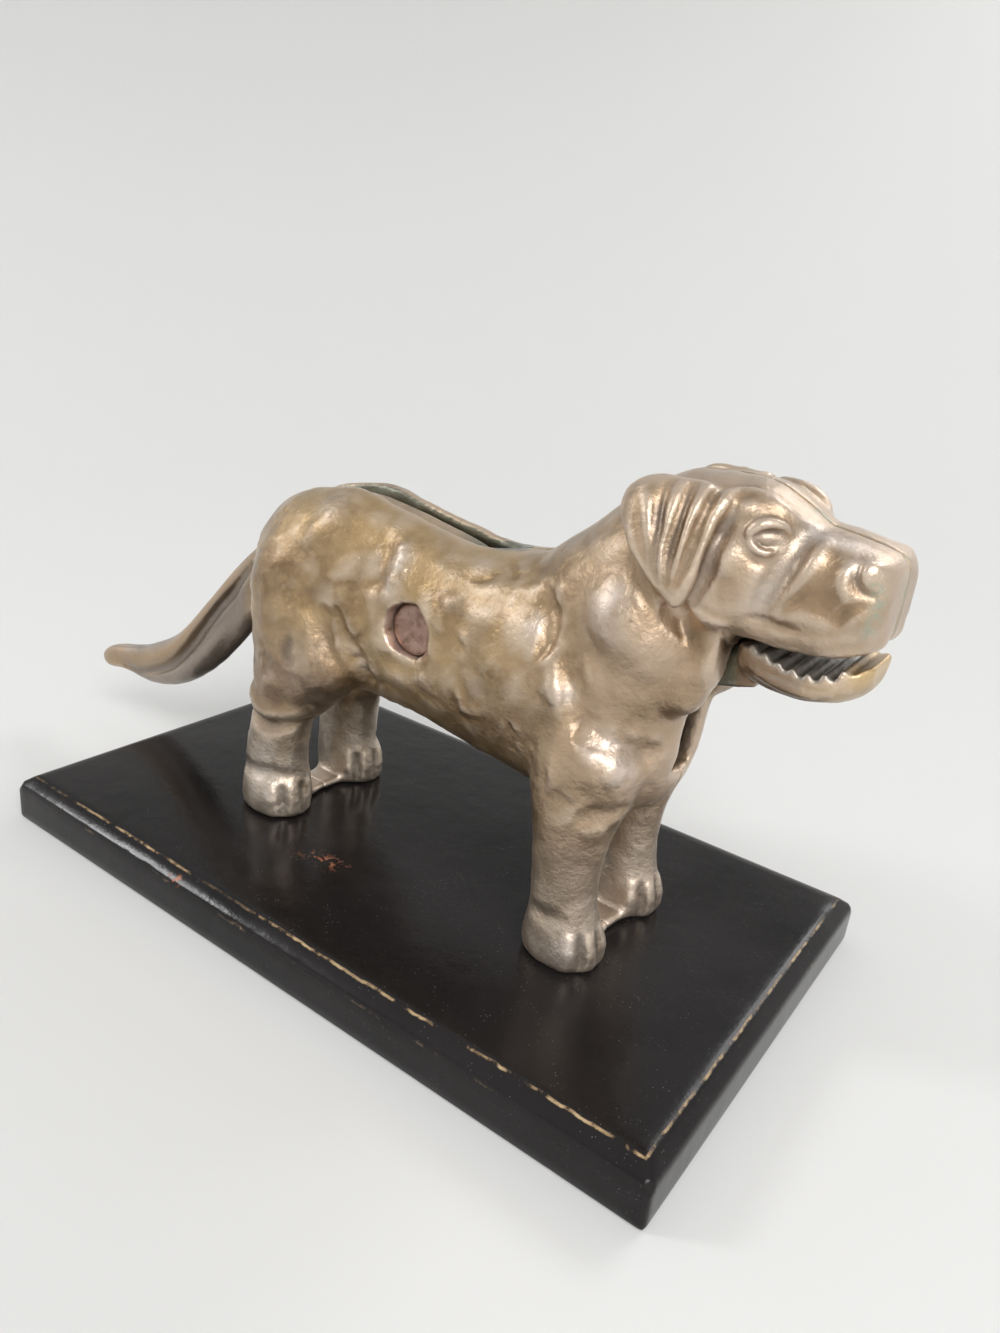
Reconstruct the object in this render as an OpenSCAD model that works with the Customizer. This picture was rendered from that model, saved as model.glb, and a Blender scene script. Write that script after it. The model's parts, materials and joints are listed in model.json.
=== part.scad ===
// Lever nutcracker in the form of a standing dog on a wooden plinth.
// The dog is two cast halves joined on its middle plane. One long casting between them
// is tail, lever and lower jaw: it turns on a cross pin through both flanks, so that
// lifting the tail drops the jaw and pressing it down closes the jaw on a nut.
// The dog's own rows below are measured from its soles and from the plinth's middle.

/* [Plinth] */
// Length of the wooden plinth
plinth_length = 240; // [225:5:270]
// Width of the wooden plinth
plinth_width = 138; // [120:2:160]
// Thickness of the wooden plinth
plinth_thickness = 15.7; // [13:0.1:20]
// How far the worn chamfer runs in from each top edge
chamfer_run = 4.2; // [2:0.1:6]
// How far the chamfer runs down each side
chamfer_drop = 3.2; // [2:0.1:5]
// How far the dog stands to the right of the plinth's middle line
dog_offset = 2.5; // [0:0.5:6]

/* [Dog] */
// Width of the dog across its haunches and shoulders
dog_width = 52; // [48:1:58]
// Width of the head across the cheeks
head_width = 42; // [39:0.5:44]
// Distance between the middles of the left and right paws
paw_spacing = 34; // [32:1:37]
// Thickness of the casting's wall
wall = 4; // [3:0.5:4.5]
// Thickness of the web that joins each pair of paws
web_thickness = 3; // [2:0.5:5]
// Width of the slots in the back and the chest, which the lever works in
slot_width = 9.8; // [9.2:0.1:12]

/* [Pivot] */
// How far the pivot lies in front of the plinth's middle
pivot_x = 6.5; // [3:0.5:9]
// Height of the pivot above the dog's soles
pivot_height = 77; // [74:0.5:79]
// Diameter of the pivot pin's shank
pin_diameter = 8; // [6:0.5:10]
// Diameter of the pin's head and of its collar
pin_head_diameter = 15; // [12:0.2:16]
// Thickness of the pin's head and of its collar
pin_head_thickness = 2.4; // [1.6:0.2:3]
// Depth of the pin's head below the flank
recess_depth = 4.2; // [3:0.2:5]
// Diameter of the casting's round boss about the pin
boss_diameter = 20; // [17:0.5:24]
// Running clearance round the pin, on the radius
pin_clearance = 0.06; // [0.02:0.01:0.1]

/* [Lever] */
// Thickness of the lever between the two halves
lever_thickness = 8.6; // [7.6:0.1:9]
// Diameter of the lever's hub
hub_diameter = 22; // [19:0.5:26]
// Width of the tail at its rounded top rim
tail_width = 10.4; // [9:0.2:10.6]
// Angle that the jaw opens through before its arm meets the foot of the slot in the chest
open_angle = 15; // [10:1:15]

/* [Jaw] */
// Width of the lower jaw across its rim
jaw_width = 30; // [26:0.5:30.5]
// Number of saw teeth across the lower jaw
teeth = 7; // [5:1:8]
// Length of the row of teeth
teeth_length = 23.4; // [20:0.2:24]
// Height of each tooth
tooth_height = 2.2; // [1.4:0.2:2.6]
// Gap left between the closed jaws at the front
bite_gap = 0.8; // [0.6:0.1:2]

/* [Fasteners] */
// Diameter of the cross rivets that hold the halves together
rivet_diameter = 5; // [4:0.5:6]
// Diameter of the screws that hold the paws down
screw_diameter = 4; // [3:0.5:5]
// Diameter of the screws' round heads
screw_head_diameter = 7.4; // [6.4:0.2:8.4]
// Depth that each screw reaches up into its paw
screw_reach = 14; // [10:1:16]
// Diameter of the counterbores in the plinth's underside
counterbore_diameter = 11; // [10.2:0.2:14]
// Depth of the counterbores
counterbore_depth = 6; // [5:0.5:8]
// Thickness of the washers under the screw heads
washer_thickness = 1; // [0.6:0.1:1.4]
// Sliding clearance round rivets and screws, on the radius
fastener_clearance = 0.05; // [0.02:0.01:0.2]

/* [Hidden] */

bronze = "#8a6f45";
copper = "#a8735c";
ebony = "#15120f";
steel = "#8b8b88";
drawn_dog_width = 52;      // the rows of trunk, neck and legs are drawn for this width
drawn_head_width = 42;     // the rows of skull, muzzle and ears for this one
drawn_paw_spacing = 34;    // and the legs' places across the dog for this one
body_stretch = dog_width / drawn_dog_width;
head_stretch = head_width / drawn_head_width;
ring_sides = 24;           // points round the trunk, neck and head
inner_sides = 12;          // points round the hollow inside them
limb_sides = 14;           // points round a leg, an ear or the tail
bead_sides = 6;            // points round a toe, a brow or a nostril
far = 400;                 // longer than the whole object, for cutting away one side
slip = 0.01;               // how far a cut runs past the face that it opens
hole_spare = 1;            // depth left over each screw's tip

// Rows of the lofted forms. Lengthwise forms: [x, top, bottom, half width, squareness].
trunk_rows = [
    [-70.5, 79, 64, 4, 2], [-68.6, 87, 56, 9, 2.1], [-64, 95, 49, 15, 2.2], [-56, 102, 45, 20.8, 2.2],
    [-44.5, 107, 44, 24.8, 2.2], [-28, 109.3, 45, 24.5, 2.2], [-11, 107.5, 46, 23, 2.2],
    [6, 104.5, 45, 23, 2.2], [22, 102.5, 43, 24, 2.2], [37, 104.5, 41.5, 25.5, 2.2],
    [52, 107, 40, 26, 2.2], [66, 106, 40, 25, 2.2], [75.5, 101, 43, 21, 2.2],
    [81.5, 93, 49, 14, 2.1], [84.5, 84, 58, 7, 2]];
skull_rows = [
    [60.5, 120, 106, 7, 2], [64, 126.5, 100, 13.5, 2.2], [70, 130.5, 95, 18, 2.4], [78, 133, 92, 20.5, 2.4],
    [86, 133.7, 92, 21, 2.5], [94, 133, 95, 20.5, 2.5], [100, 130.3, 99, 18.5, 2.5],
    [105.5, 127, 101.5, 15.5, 2.4], [110, 124.5, 104, 11, 2.2]];
muzzle_rows = [
    [93, 122, 104, 11, 3], [98, 125.3, 102, 15, 3.2], [106, 126, 101.3, 16.2, 3.4],
    [114, 125.2, 101, 16.4, 3.4], [119.5, 124.2, 101.2, 15.6, 3.4], [123.4, 123, 102.6, 13.6, 3.2],
    [125.2, 120.8, 105, 10.6, 2.8]];
// Neck: [x, z, tilt of its run, half depth, half width, squareness].
neck_rows = [
    [44, 70, 40, 25, 14, 2.2], [57, 84, 44, 28.3, 22.4, 2.2], [68, 96, 42, 26, 23, 2.2],
    [77, 107.5, 34, 24, 21, 2.2], [83, 116, 24, 19, 16, 2.2]];
// Limbs: [x, y, z, half length, half width], drawn for the right side, y away from the middle.
front_leg_rows = [
    [63, 12, 84, 11, 8], [63.5, 14.5, 72, 15.5, 11], [64, 15.5, 61, 15.6, 12.4],
    [64, 16.3, 50, 14.4, 11.8], [63.3, 17, 41, 12, 10.2], [63.2, 17, 31, 10.2, 8.8],
    [63.4, 17, 22, 9.5, 8.3], [64.2, 17, 14, 10, 8.8], [65, 17, 8, 11.5, 9.7], [65.2, 17, 3, 12, 10],
    [65.2, 17, 0, 11.4, 9.4]];
hind_leg_rows = [
    [-44.5, 11, 93, 10, 8], [-42.5, 14, 81, 15.4, 12], [-40, 15.6, 68, 18.6, 13.2], [-37.6, 16.4, 57, 20, 12.8],
    [-38.4, 16.4, 49, 18, 12.4], [-41.6, 16.4, 42, 15.6, 11.8], [-44.6, 16.3, 36.6, 13.2, 10.8],
    [-47, 16.2, 33, 11.2, 9], [-48.9, 16.3, 23, 11.6, 8.8], [-48.8, 16.6, 15, 11.8, 9.2],
    [-48.2, 17, 8, 12.8, 10.2], [-47.8, 17.2, 3, 13, 10.6], [-47.8, 17.2, 0, 12.4, 10]];
ear_rows = [
    [78, 14, 132.5, 6, 2], [77.5, 16.8, 131, 10.5, 3.2], [77, 19.6, 126.5, 12.6, 3.8], [77.6, 22, 120, 11, 3.8],
    [79, 23.4, 112.5, 8.6, 3.6], [80.6, 23.6, 106, 5.4, 3.2], [82, 23, 102.2, 2.4, 2.2]];
// Tail, from its tip to its root: [x, z, tilt of its run, half depth, half width].
tail_rows = [
    [-169, 10.6, 32, 1.6, 2.4], [-165.8, 12.4, 30, 4, 4.4], [-158, 15.2, 26, 5.2, 5.2], [-149.5, 16.4, 21, 6, 5.4],
    [-139, 17.6, 22, 7.8, 5.4], [-127.2, 21.6, 33, 9.2, 5.4], [-115.2, 28.2, 42, 9.6, 5.3],
    [-103.2, 38, 46, 9.8, 5.3], [-91.2, 50.6, 47, 9.9, 5.1], [-81.4, 61.6, 45, 9.9, 4.9],
    [-71.5, 71.5, 44, 10, 4.7],
    [-62.5, 80.5, 42, 10, 4.4], [-56, 86, 40, 9, 4.2]];
// Bar of the lever, from the tail's root under the back to the jaw: [x, top, bottom].
bar_rows = [
    [-84, 68, 50], [-76, 76, 57], [-68, 84, 61.5], [-60, 92.6, 68], [-52, 98.6, 74], [-44.5, 102, 79],
    [-28, 104.8, 83], [-11, 103, 80], [0, 101, 72], [8, 99.4, 68.6], [14, 95.5, 69], [20, 90, 69.8],
    [28, 86.7, 70.3], [50, 88, 72], [70, 89.8, 75.8], [84, 92.4, 80.8], [93, 95, 83.8], [99, 96.2, 85.6]];
// Lower jaw: [x, rim, bottom, half width].
jaw_rows = [
    [95.4, 97.4, 88.6, 11], [97, 98, 87.6, 13], [101, 97, 86.8, 14.6], [107, 95.2, 86.6, 15],
    [113, 94.6, 87, 14.8], [118.5, 95.8, 88.4, 13.4], [122.4, 98.4, 90.6, 10.4], [124.6, 99.4, 93.6, 6.6]];
// Beads laid on the face, each running towards the nose: [x, y, z, radius].
brow_beads = [
    [88, 19, 123.6, 1.4], [89.6, 17.4, 126.8, 2.6], [94, 15.2, 128.6, 3], [100, 12.2, 127.6, 2.8],
    [105, 9.4, 125.4, 1.6]];
eye_beads = [
    [93.6, 17.6, 124.6, 1], [95.4, 17, 124.8, 2.6], [98, 16.2, 124.8, 3.1], [100.6, 14.6, 124.8, 2.4],
    [102.4, 13.4, 124.8, 1]];
nose_beads = [
    [116.6, 12.6, 120, 1.6], [118.7, 13, 120.2, 3.2], [121, 12.4, 120.2, 3.4], [123.6, 10.6, 120, 1.8]];
flew_beads = [
    [100, 12.8, 106, 2.4], [104, 13, 107.6, 5], [110, 12.4, 109, 6.2], [115, 12, 108, 5.4], [119.4, 10.6, 107, 3]];

hub_radius = hub_diameter / 2;
slot_half = slot_width / 2;
drawn_jaw_width = 30;      // the jaw's rows are drawn for this width
drawn_tail_width = 11;     // and the tail's for this one
drawn_bite_gap = 0.8;      // and the jaw's heights for this gap
jaw_stretch = jaw_width / drawn_jaw_width;
jaw_drop = bite_gap - drawn_bite_gap;
slot_tip_x = 28;           // where the slot in the back ends in a point
slot_tip_length = 11;
slot_floor = 55.3;         // height of the slot's foot in the rump, which the tail rests above
slot_foot_depth = 60.7;    // and how far forward the foot runs, from the plinth's middle
chest_slot_x = 70;         // where the slot in the chest starts, inside the body
chest_slot_top = 97.5;
arm_corner = [84, 80.8];   // underside of the jaw's arm, where it leaves the chest
arm_clearance = 3.3;       // left between the opened arm and the foot of its slot
// Height of the slot's foot in the chest, which lets the arm swing down through its angle.
chest_slot_floor = pivot_height + (arm_corner[1] - pivot_height) * cos(open_angle)
    - (arm_corner[0] - pivot_x) * sin(open_angle) - arm_clearance;
throat_x = 94;             // the mouth is open in front of this
lip_height = 101.2;        // height of the upper lips above the soles
palate_height = 107;       // and of the roof of the mouth between them
teeth_start = 98.4;
mouth_width = 25;
mouth_front = 120.5;
head_rivet_at = [93, 111];
shoulder_rivet_at = [64, 49.5];
haunch_rivet_at = [-42, 54];
front_screw_x = 65;
hind_screw_x = -48.5;
front_paw = [12.4, 10];    // half length and half width of a paw
hind_paw = [13.4, 10.4];
paw_shift = (paw_spacing - drawn_paw_spacing) / 2;
front_screw_y = 17 + paw_shift;
hind_screw_y = 17.2 + paw_shift;
screw_places = [[front_screw_x, -front_screw_y], [front_screw_x, front_screw_y],
    [hind_screw_x, -hind_screw_y], [hind_screw_x, hind_screw_y]];

// Half widths of the dog where the pin and the rivets cross it. A rivet is filed off just below the skin.
drawn_flank = 23;
drawn_cheek = 20;
drawn_shoulder = 27.6;
drawn_haunch = 28.2;
filed_off = 1;
rivet_metal = 3;           // metal left round each rivet's bore
flank_at_pivot = drawn_flank * body_stretch;
pin_seat = flank_at_pivot - recess_depth - pin_head_thickness;
head_rivet_half = drawn_cheek * head_stretch - filed_off;
shoulder_rivet_half = drawn_shoulder + paw_shift - filed_off;
haunch_rivet_half = drawn_haunch + paw_shift - filed_off;

// One smooth curve through a list of rows; at is counted in rows.
function smooth_row(rows, at) =
    let (i = min(floor(at), len(rows) - 2), f = at - i,
        a = rows[max(i - 1, 0)], b = rows[i], c = rows[i + 1], d = rows[min(i + 2, len(rows) - 1)])
    0.5 * (2 * b + (c - a) * f + (2 * a - 5 * b + 4 * c - d) * f * f + (3 * b - a - 3 * c + d) * f * f * f);
function smooth_rows(rows, steps) =
    [for (k = [0 : (len(rows) - 1) * steps]) smooth_row(rows, k / steps)];

// A signed power, which squares off or rounds the corners of a ring.
function corner(value, squareness) = sign(value) * pow(abs(value), 2 / squareness);

// Draws the two ends of a form in by the inset, so that an end wall stays.
function drawn_in(rows, inset) =
    let (first = rows[0][0], last = rows[len(rows) - 1][0], shrink = 1 - 2 * inset / (last - first))
    [for (row = rows) [(row[0] - first) * shrink + first + inset, each [for (k = [1 : len(row) - 1]) row[k]]]];

// Ring of points across a lengthwise form.
function upright_ring(row, inset, stretch, sides = ring_sides) =
    let (mid = (row[1] + row[2]) / 2, high = (row[1] - row[2]) / 2 - inset, wide = row[3] * stretch - inset)
    [for (k = [0 : sides - 1]) let (a = 360 * k / sides)
        [row[0], -wide * corner(cos(a), row[4]), mid + high * corner(sin(a), row[4])]];

// Ring of points across the tilted neck.
function tilted_ring(row, inset, stretch, sides = ring_sides) =
    let (deep = row[3] - inset, wide = row[4] * stretch - inset)
    [for (k = [0 : sides - 1]) let (a = 360 * k / sides, rise = deep * corner(sin(a), row[5]))
        [row[0] - rise * sin(row[2]), -wide * corner(cos(a), row[5]), row[1] + rise * cos(row[2])]];

// Ring across the tail: a rounded rim above, a drawn-in side below it.
function tail_ring(row) =
    [for (k = [0 : limb_sides - 1]) let (a = 360 * k / limb_sides, rise = sin(a),
            waist = 1 - 0.3 * exp(-pow((rise - 0.1) / 0.35, 2)) - 0.12 * (1 - rise) / 2)
        [row[0] - row[3] * rise * sin(row[2]), -row[4] * tail_width / drawn_tail_width * waist * corner(cos(a), 3),
            row[1] + row[3] * rise * cos(row[2])]];

// Level ring of points round a leg or an ear, going down from row to row. Pleats stand out from its outer side.
function level_ring(row, y_shift, stretch, pleat = 0) =
    [for (k = [0 : limb_sides - 1]) let (a = 360 * k / limb_sides, fold = sin(a) < -0.1 ? cos(540 * cos(a)) : 0)
        [row[0] + row[3] * cos(a), -(row[1] * stretch + y_shift) + row[4] * stretch * sin(a) - pleat * fold,
            row[2]]];

// Round ring of a bead that runs towards the nose, and of one that runs down a toe.
function bead_ring(bead, stretch) =
    [for (k = [0 : bead_sides - 1]) let (a = 360 * k / bead_sides)
        [bead[0], -bead[1] * stretch - bead[3] * cos(a), bead[2] + bead[3] * sin(a)]];
function toe_ring(x, y, z, radius) =
    [for (k = [0 : bead_sides - 1]) let (a = 360 * k / bead_sides) [x + radius * cos(a), -y + radius * sin(a), z]];

// Closed skin over a run of rings, with a flat end at the first and the last.
module skin(rings) {
    sides = len(rings[0]);
    last = len(rings) - 1;
    polyhedron([for (ring = rings) each ring], [
        [for (k = [sides - 1 : -1 : 0]) k],
        for (r = [0 : last - 1]) for (k = [0 : sides - 1])
            let (a = r * sides + k, b = r * sides + (k + 1) % sides)
                each [[a, b, a + sides], [b, b + sides, a + sides]],
        [for (k = [0 : sides - 1]) last * sides + k]], convexity = 8);
}

module trunk() {
    skin([for (row = smooth_rows(trunk_rows, 2)) upright_ring(row, 0, body_stretch)]);
}

module neck() {
    skin([for (row = smooth_rows(neck_rows, 2)) tilted_ring(row, 0, body_stretch)]);
}

module skull() {
    skin([for (row = smooth_rows(skull_rows, 2)) upright_ring(row, 0, head_stretch)]);
}

// The same forms drawn in by the wall, with fewer points, for the hollow.
module core() {
    skin([for (row = drawn_in(trunk_rows, wall)) upright_ring(row, wall, body_stretch, inner_sides)]);
    skin([for (row = neck_rows) tilted_ring(row, wall, body_stretch, inner_sides)]);
    skin([for (row = drawn_in(skull_rows, wall)) upright_ring(row, wall, head_stretch, inner_sides)]);
}

module muzzle() {
    skin([for (row = muzzle_rows) upright_ring(row, 0, head_stretch)]);
}

module leg(rows) {
    skin([for (row = smooth_rows(rows, 2)) level_ring(row, paw_shift, 1)]);
}

module ear() {
    pleat_depth = 0.9;
    skin([for (row = smooth_rows(ear_rows, 2)) level_ring(row, 0, head_stretch, pleat_depth)]);
}

module bead(beads) {
    skin([for (bead = beads) bead_ring(bead, head_stretch)]);
}

// Four toes round the front of a paw, whose middle and half measures are given.
module toes(x, y, length, width) {
    spread = 116;
    for (k = [0 : 3]) let (a = spread * (k / 3 - 0.5))
        skin([for (row = [[0.5, 13, 1.6], [0.68, 10, 3], [0.77, 4, 3.5], [0.76, 0, 3.2]])
            toe_ring(x + row[0] * length * cos(a), y + row[0] * width * sin(a), row[1], row[2])]);
}

// Half of the web between two paws, hollowed a little at its front and back edges.
module paw_web(x, y) {
    web_length = 20;
    hollow = 34;           // radius of the hollowed edges
    hollow_depth = 4;
    translate([x, 0, 0]) linear_extrude(web_thickness) difference() {
        translate([-web_length / 2, -y]) square([web_length, y]);
        for (end = [-1, 1]) translate([end * (web_length / 2 + hollow - hollow_depth), 0]) circle(hollow, $fn = 64);
    }
}

// Round boss across one half, from the middle gap outwards.
module boss(at, diameter, from, to) {
    translate([at[0], -from, at[1]]) rotate([90, 0, 0]) cylinder(d = diameter, h = to - from, $fn = 24);
}

// Everything inside the right half that is not metal: the hollow, its slots and the mouth.
module hollow() {
    difference() {
        core();
        boss([pivot_x, pivot_height], boss_diameter, slot_half, flank_at_pivot);
        boss(head_rivet_at, rivet_diameter + 2 * rivet_metal, 0, head_rivet_half);
        boss(shoulder_rivet_at, rivet_diameter + 2 * rivet_metal, 0, shoulder_rivet_half);
        boss(haunch_rivet_at, rivet_diameter + 2 * rivet_metal, 0, haunch_rivet_half);
    }
    // slot along the back, pointed at its front end, with its foot in the rump where the tail comes out
    intersection() {
        linear_extrude(far) polygon([[-far, -slot_half], [slot_tip_x - slot_tip_length, -slot_half],
            [slot_tip_x, 0], [slot_tip_x, slip], [-far, slip]]);
        translate([0, far / 2, 0]) rotate([90, 0, 0]) linear_extrude(far) polygon([[-far, slot_floor],
            [-slot_foot_depth, slot_floor], [-slot_foot_depth, pivot_height], [far, pivot_height],
            [far, far], [-far, far]]);
    }
    // slot in the chest for the arm of the jaw
    translate([chest_slot_x, -slot_half, chest_slot_floor])
        cube([far, slot_half + slip, chest_slot_top - chest_slot_floor]);
    // the open mouth, with its roof between the lips
    translate([throat_x, -far / 2, chest_slot_floor]) cube([far, far, lip_height - chest_slot_floor]);
    translate([throat_x, -mouth_width / 2, chest_slot_floor])
        cube([mouth_front - throat_x, mouth_width, palate_height - chest_slot_floor]);
}

// The cast metal of the right half, before its holes are drilled.
module right_half() {
    resize([0, 0, 0]) intersection() {
        translate([-far, -far, 0]) cube([2 * far, far, far]);
        difference() {
            union() {
                trunk();
                neck();
                skull();
                muzzle();
                ear();
                bead(brow_beads);
                bead(eye_beads);
                bead(nose_beads);
                bead(flew_beads);
                leg(front_leg_rows);
                leg(hind_leg_rows);
                toes(front_screw_x, front_screw_y, front_paw[0], front_paw[1]);
                toes(hind_screw_x, hind_screw_y, hind_paw[0], hind_paw[1]);
                paw_web(front_screw_x, front_screw_y);
                paw_web(hind_screw_x, hind_screw_y);
            }
            hollow();
        }
    }
}

// A drilled hole across the right half.
module cross_hole(at, radius, to = far) {
    translate([at[0], slip, at[1]]) rotate([90, 0, 0]) cylinder(r = radius, h = to + slip, $fn = 64);
}

// The drilled right half. The left one is its mirror image.
module drilled_half() {
    difference() {
        right_half();
        cross_hole([pivot_x, pivot_height], pin_diameter / 2 + fastener_clearance);
        translate([pivot_x, -pin_seat, pivot_height]) rotate([90, 0, 0])
            cylinder(r = pin_head_diameter / 2 + fastener_clearance, h = far, $fn = 64);
        for (at = [head_rivet_at, shoulder_rivet_at, haunch_rivet_at])
            cross_hole(at, rivet_diameter / 2 + fastener_clearance);
        for (at = [[front_screw_x, front_screw_y], [hind_screw_x, hind_screw_y]])
            translate([at[0], -at[1], -slip])
                cylinder(r = screw_diameter / 2 + fastener_clearance, h = screw_reach + hole_spare + slip, $fn = 48);
    }
}

// Puts what is drawn from the soles and the dog's middle plane in its place on the plinth.
module on_plinth() {
    translate([0, -dog_offset, plinth_thickness]) children();
}

module casting_right() {
    color(bronze) on_plinth() drilled_half();
}

module casting_left() {
    color(bronze) on_plinth() mirror([0, 1, 0]) drilled_half();
}

// Boat-shaped jaw under its row of saw teeth.
module jaw() {
    skin([for (row = smooth_rows(jaw_rows, 2)) let (rim = row[1] - jaw_drop, wide = row[3] * jaw_stretch)
        [for (k = [0 : limb_sides - 1]) let (a = 180 * k / (limb_sides - 1))
            [row[0], wide * cos(a), rim - (row[1] - row[2]) * corner(sin(a), 2.6)]]]);
}

// Half width and height of the jaw's rim at a distance along it.
function rim_half(x) = jaw_stretch * lookup(x, [for (row = jaw_rows) [row[0], row[3]]]);
function rim_height(x) = lookup(x, [for (row = jaw_rows) [row[0], row[1]]]) - jaw_drop;

// Saw teeth across the jaw from rim to rim, each steep behind and sloping down towards the lips.
module teeth_row() {
    pitch = teeth_length / teeth;
    lap = 0.07;            // how far each tooth runs into the next
    back_slope = 0.5;
    crest = 0.7;
    root = 3;              // how far each tooth reaches down into the jaw
    sunk = 0.5;            // how far its foot lies below the rim
    inside = 0.2;          // how far its ends stop inside the jaw's sides
    for (k = [0 : teeth - 1]) {
        x = teeth_start + k * pitch;
        back = rim_half(x) - inside;
        front = rim_half(x + pitch) - inside;
        translate([0, 0, rim_height(x + pitch / 2) - sunk]) intersection() {
            translate([x, far / 2, 0]) rotate([90, 0, 0]) linear_extrude(far)
                polygon([[0, -root], [pitch + lap, -root], [pitch + lap, 0], [crest + back_slope, tooth_height],
                    [back_slope, tooth_height], [0, 0]]);
            translate([0, 0, -root - 1]) linear_extrude(root + tooth_height + 2)
                polygon([[x - lap, -back], [x + pitch + 2 * lap, -front], [x + pitch + 2 * lap, front], [x - lap, back]]);
        }
    }
}

module lever_bar() {
    rows = smooth_rows(bar_rows, 2);
    translate([0, lever_thickness / 2, 0]) rotate([90, 0, 0]) linear_extrude(lever_thickness) {
        polygon([for (row = rows) [row[0], row[2]],
            for (k = [len(rows) - 1 : -1 : 0]) [rows[k][0], rows[k][1]]]);
        translate([pivot_x, pivot_height]) circle(hub_radius, $fn = 64);
    }
}

module tail_lever() {
    color(bronze) on_plinth() difference() {
        resize([0, 0, 0]) {
            skin([for (row = smooth_rows(tail_rows, 2)) tail_ring(row)]);
            lever_bar();
            jaw();
            teeth_row();
        }
        translate([pivot_x, far / 2, pivot_height]) rotate([90, 0, 0])
            cylinder(r = pin_diameter / 2 + pin_clearance, h = far, $fn = 64);
    }
}

// Lays what is drawn along Z across the dog at a place in its side view, with Z towards its right.
module across(at) {
    on_plinth() translate([at[0], 0, at[1]]) rotate([90, 0, 0]) children();
}

module pivot_pin() {
    rounding = 0.5;
    head = pin_head_diameter / 2;
    color(copper) across([pivot_x, pivot_height]) rotate_extrude($fn = 64) polygon([
        [0, -(pin_seat + pin_head_thickness)], [pin_diameter / 2 - rounding, -(pin_seat + pin_head_thickness)],
        [pin_diameter / 2, -(pin_seat + pin_head_thickness) + rounding], [pin_diameter / 2, pin_seat],
        [head, pin_seat], [head, pin_seat + pin_head_thickness - rounding],
        [head - rounding, pin_seat + pin_head_thickness], [0, pin_seat + pin_head_thickness]]);
}

module pivot_collar() {
    rounding = 0.5;
    outer = pin_head_diameter / 2;
    inner = pin_diameter / 2 + fastener_clearance;
    color(copper) across([pivot_x, pivot_height]) mirror([0, 0, 1]) rotate_extrude($fn = 64) polygon([
        [inner, pin_seat], [outer, pin_seat], [outer, pin_seat + pin_head_thickness - rounding],
        [outer - rounding, pin_seat + pin_head_thickness], [inner, pin_seat + pin_head_thickness]]);
}

// A plain rivet across both halves.
module rivet(at, half_length) {
    color(bronze) across(at) translate([0, 0, -half_length])
        cylinder(d = rivet_diameter, h = 2 * half_length, $fn = 48);
}

module head_rivet() {
    rivet(head_rivet_at, head_rivet_half);
}

module shoulder_rivet() {
    rivet(shoulder_rivet_at, shoulder_rivet_half);
}

module haunch_rivet() {
    rivet(haunch_rivet_at, haunch_rivet_half);
}

// Board with worn chamfers along its four top edges, drilled from below.
module plinth() {
    low = plinth_thickness - chamfer_drop;
    color(ebony) difference() {
        intersection() {
            rotate([90, 0, 90]) translate([0, 0, -plinth_length / 2]) linear_extrude(plinth_length) polygon([
                [-plinth_width / 2, 0], [plinth_width / 2, 0], [plinth_width / 2, low],
                [plinth_width / 2 - chamfer_run, plinth_thickness],
                [chamfer_run - plinth_width / 2, plinth_thickness], [-plinth_width / 2, low]]);
            rotate([90, 0, 0]) translate([0, 0, -plinth_width / 2]) linear_extrude(plinth_width) polygon([
                [-plinth_length / 2, 0], [plinth_length / 2, 0], [plinth_length / 2, low],
                [plinth_length / 2 - chamfer_run, plinth_thickness],
                [chamfer_run - plinth_length / 2, plinth_thickness], [-plinth_length / 2, low]]);
        }
        for (at = screw_places) translate([at[0], at[1] - dog_offset, -slip]) {
            cylinder(r = screw_diameter / 2 + fastener_clearance, h = plinth_thickness + 1, $fn = 48);
            cylinder(d = counterbore_diameter, h = counterbore_depth + slip, $fn = 48);
        }
    }
}

// Round-headed slotted screw, put in from below, with its head in the counterbore.
module base_screw(at) {
    head_height = 2.6;
    head_rounding = 1.2;
    tip_rounding = 0.8;
    slot_wide = 0.9;
    slot_deep = 1.2;
    under_head = counterbore_depth - washer_thickness;
    head = screw_head_diameter / 2;
    shank = screw_diameter / 2;
    tip = plinth_thickness + screw_reach;
    color(steel) translate([at[0], at[1] - dog_offset, 0]) difference() {
        rotate_extrude($fn = 48) polygon([[0, under_head - head_height],
            [head - head_rounding, under_head - head_height], [head, under_head - head_height + head_rounding],
            [head, under_head], [shank, under_head], [shank, tip - tip_rounding], [shank - tip_rounding, tip],
            [0, tip]]);
        translate([-head - slip, -slot_wide / 2, under_head - head_height - slip])
            cube([screw_head_diameter + 2 * slip, slot_wide, slot_deep + slip]);
    }
}

module washer(at) {
    rim_play = 0.4;        // left between the washer and its counterbore
    bore_play = 0.2;       // and between the washer and its screw
    outer = counterbore_diameter / 2 - rim_play;
    color(steel) translate([at[0], at[1] - dog_offset, counterbore_depth - washer_thickness]) difference() {
        cylinder(r = outer, h = washer_thickness, $fn = 48);
        translate([0, 0, -1]) cylinder(r = screw_diameter / 2 + bore_play, h = washer_thickness + 2, $fn = 48);
    }
}

plinth();
casting_right();
casting_left();
tail_lever();
pivot_pin();
pivot_collar();
head_rivet();
shoulder_rivet();
haunch_rivet();
base_screw(screw_places[0]);  // front_right_screw
base_screw(screw_places[1]);  // front_left_screw
base_screw(screw_places[2]);  // hind_right_screw
base_screw(screw_places[3]);  // hind_left_screw
washer(screw_places[0]);  // front_right_washer
washer(screw_places[1]);  // front_left_washer
washer(screw_places[2]);  // hind_right_washer
washer(screw_places[3]);  // hind_left_washer
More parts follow.
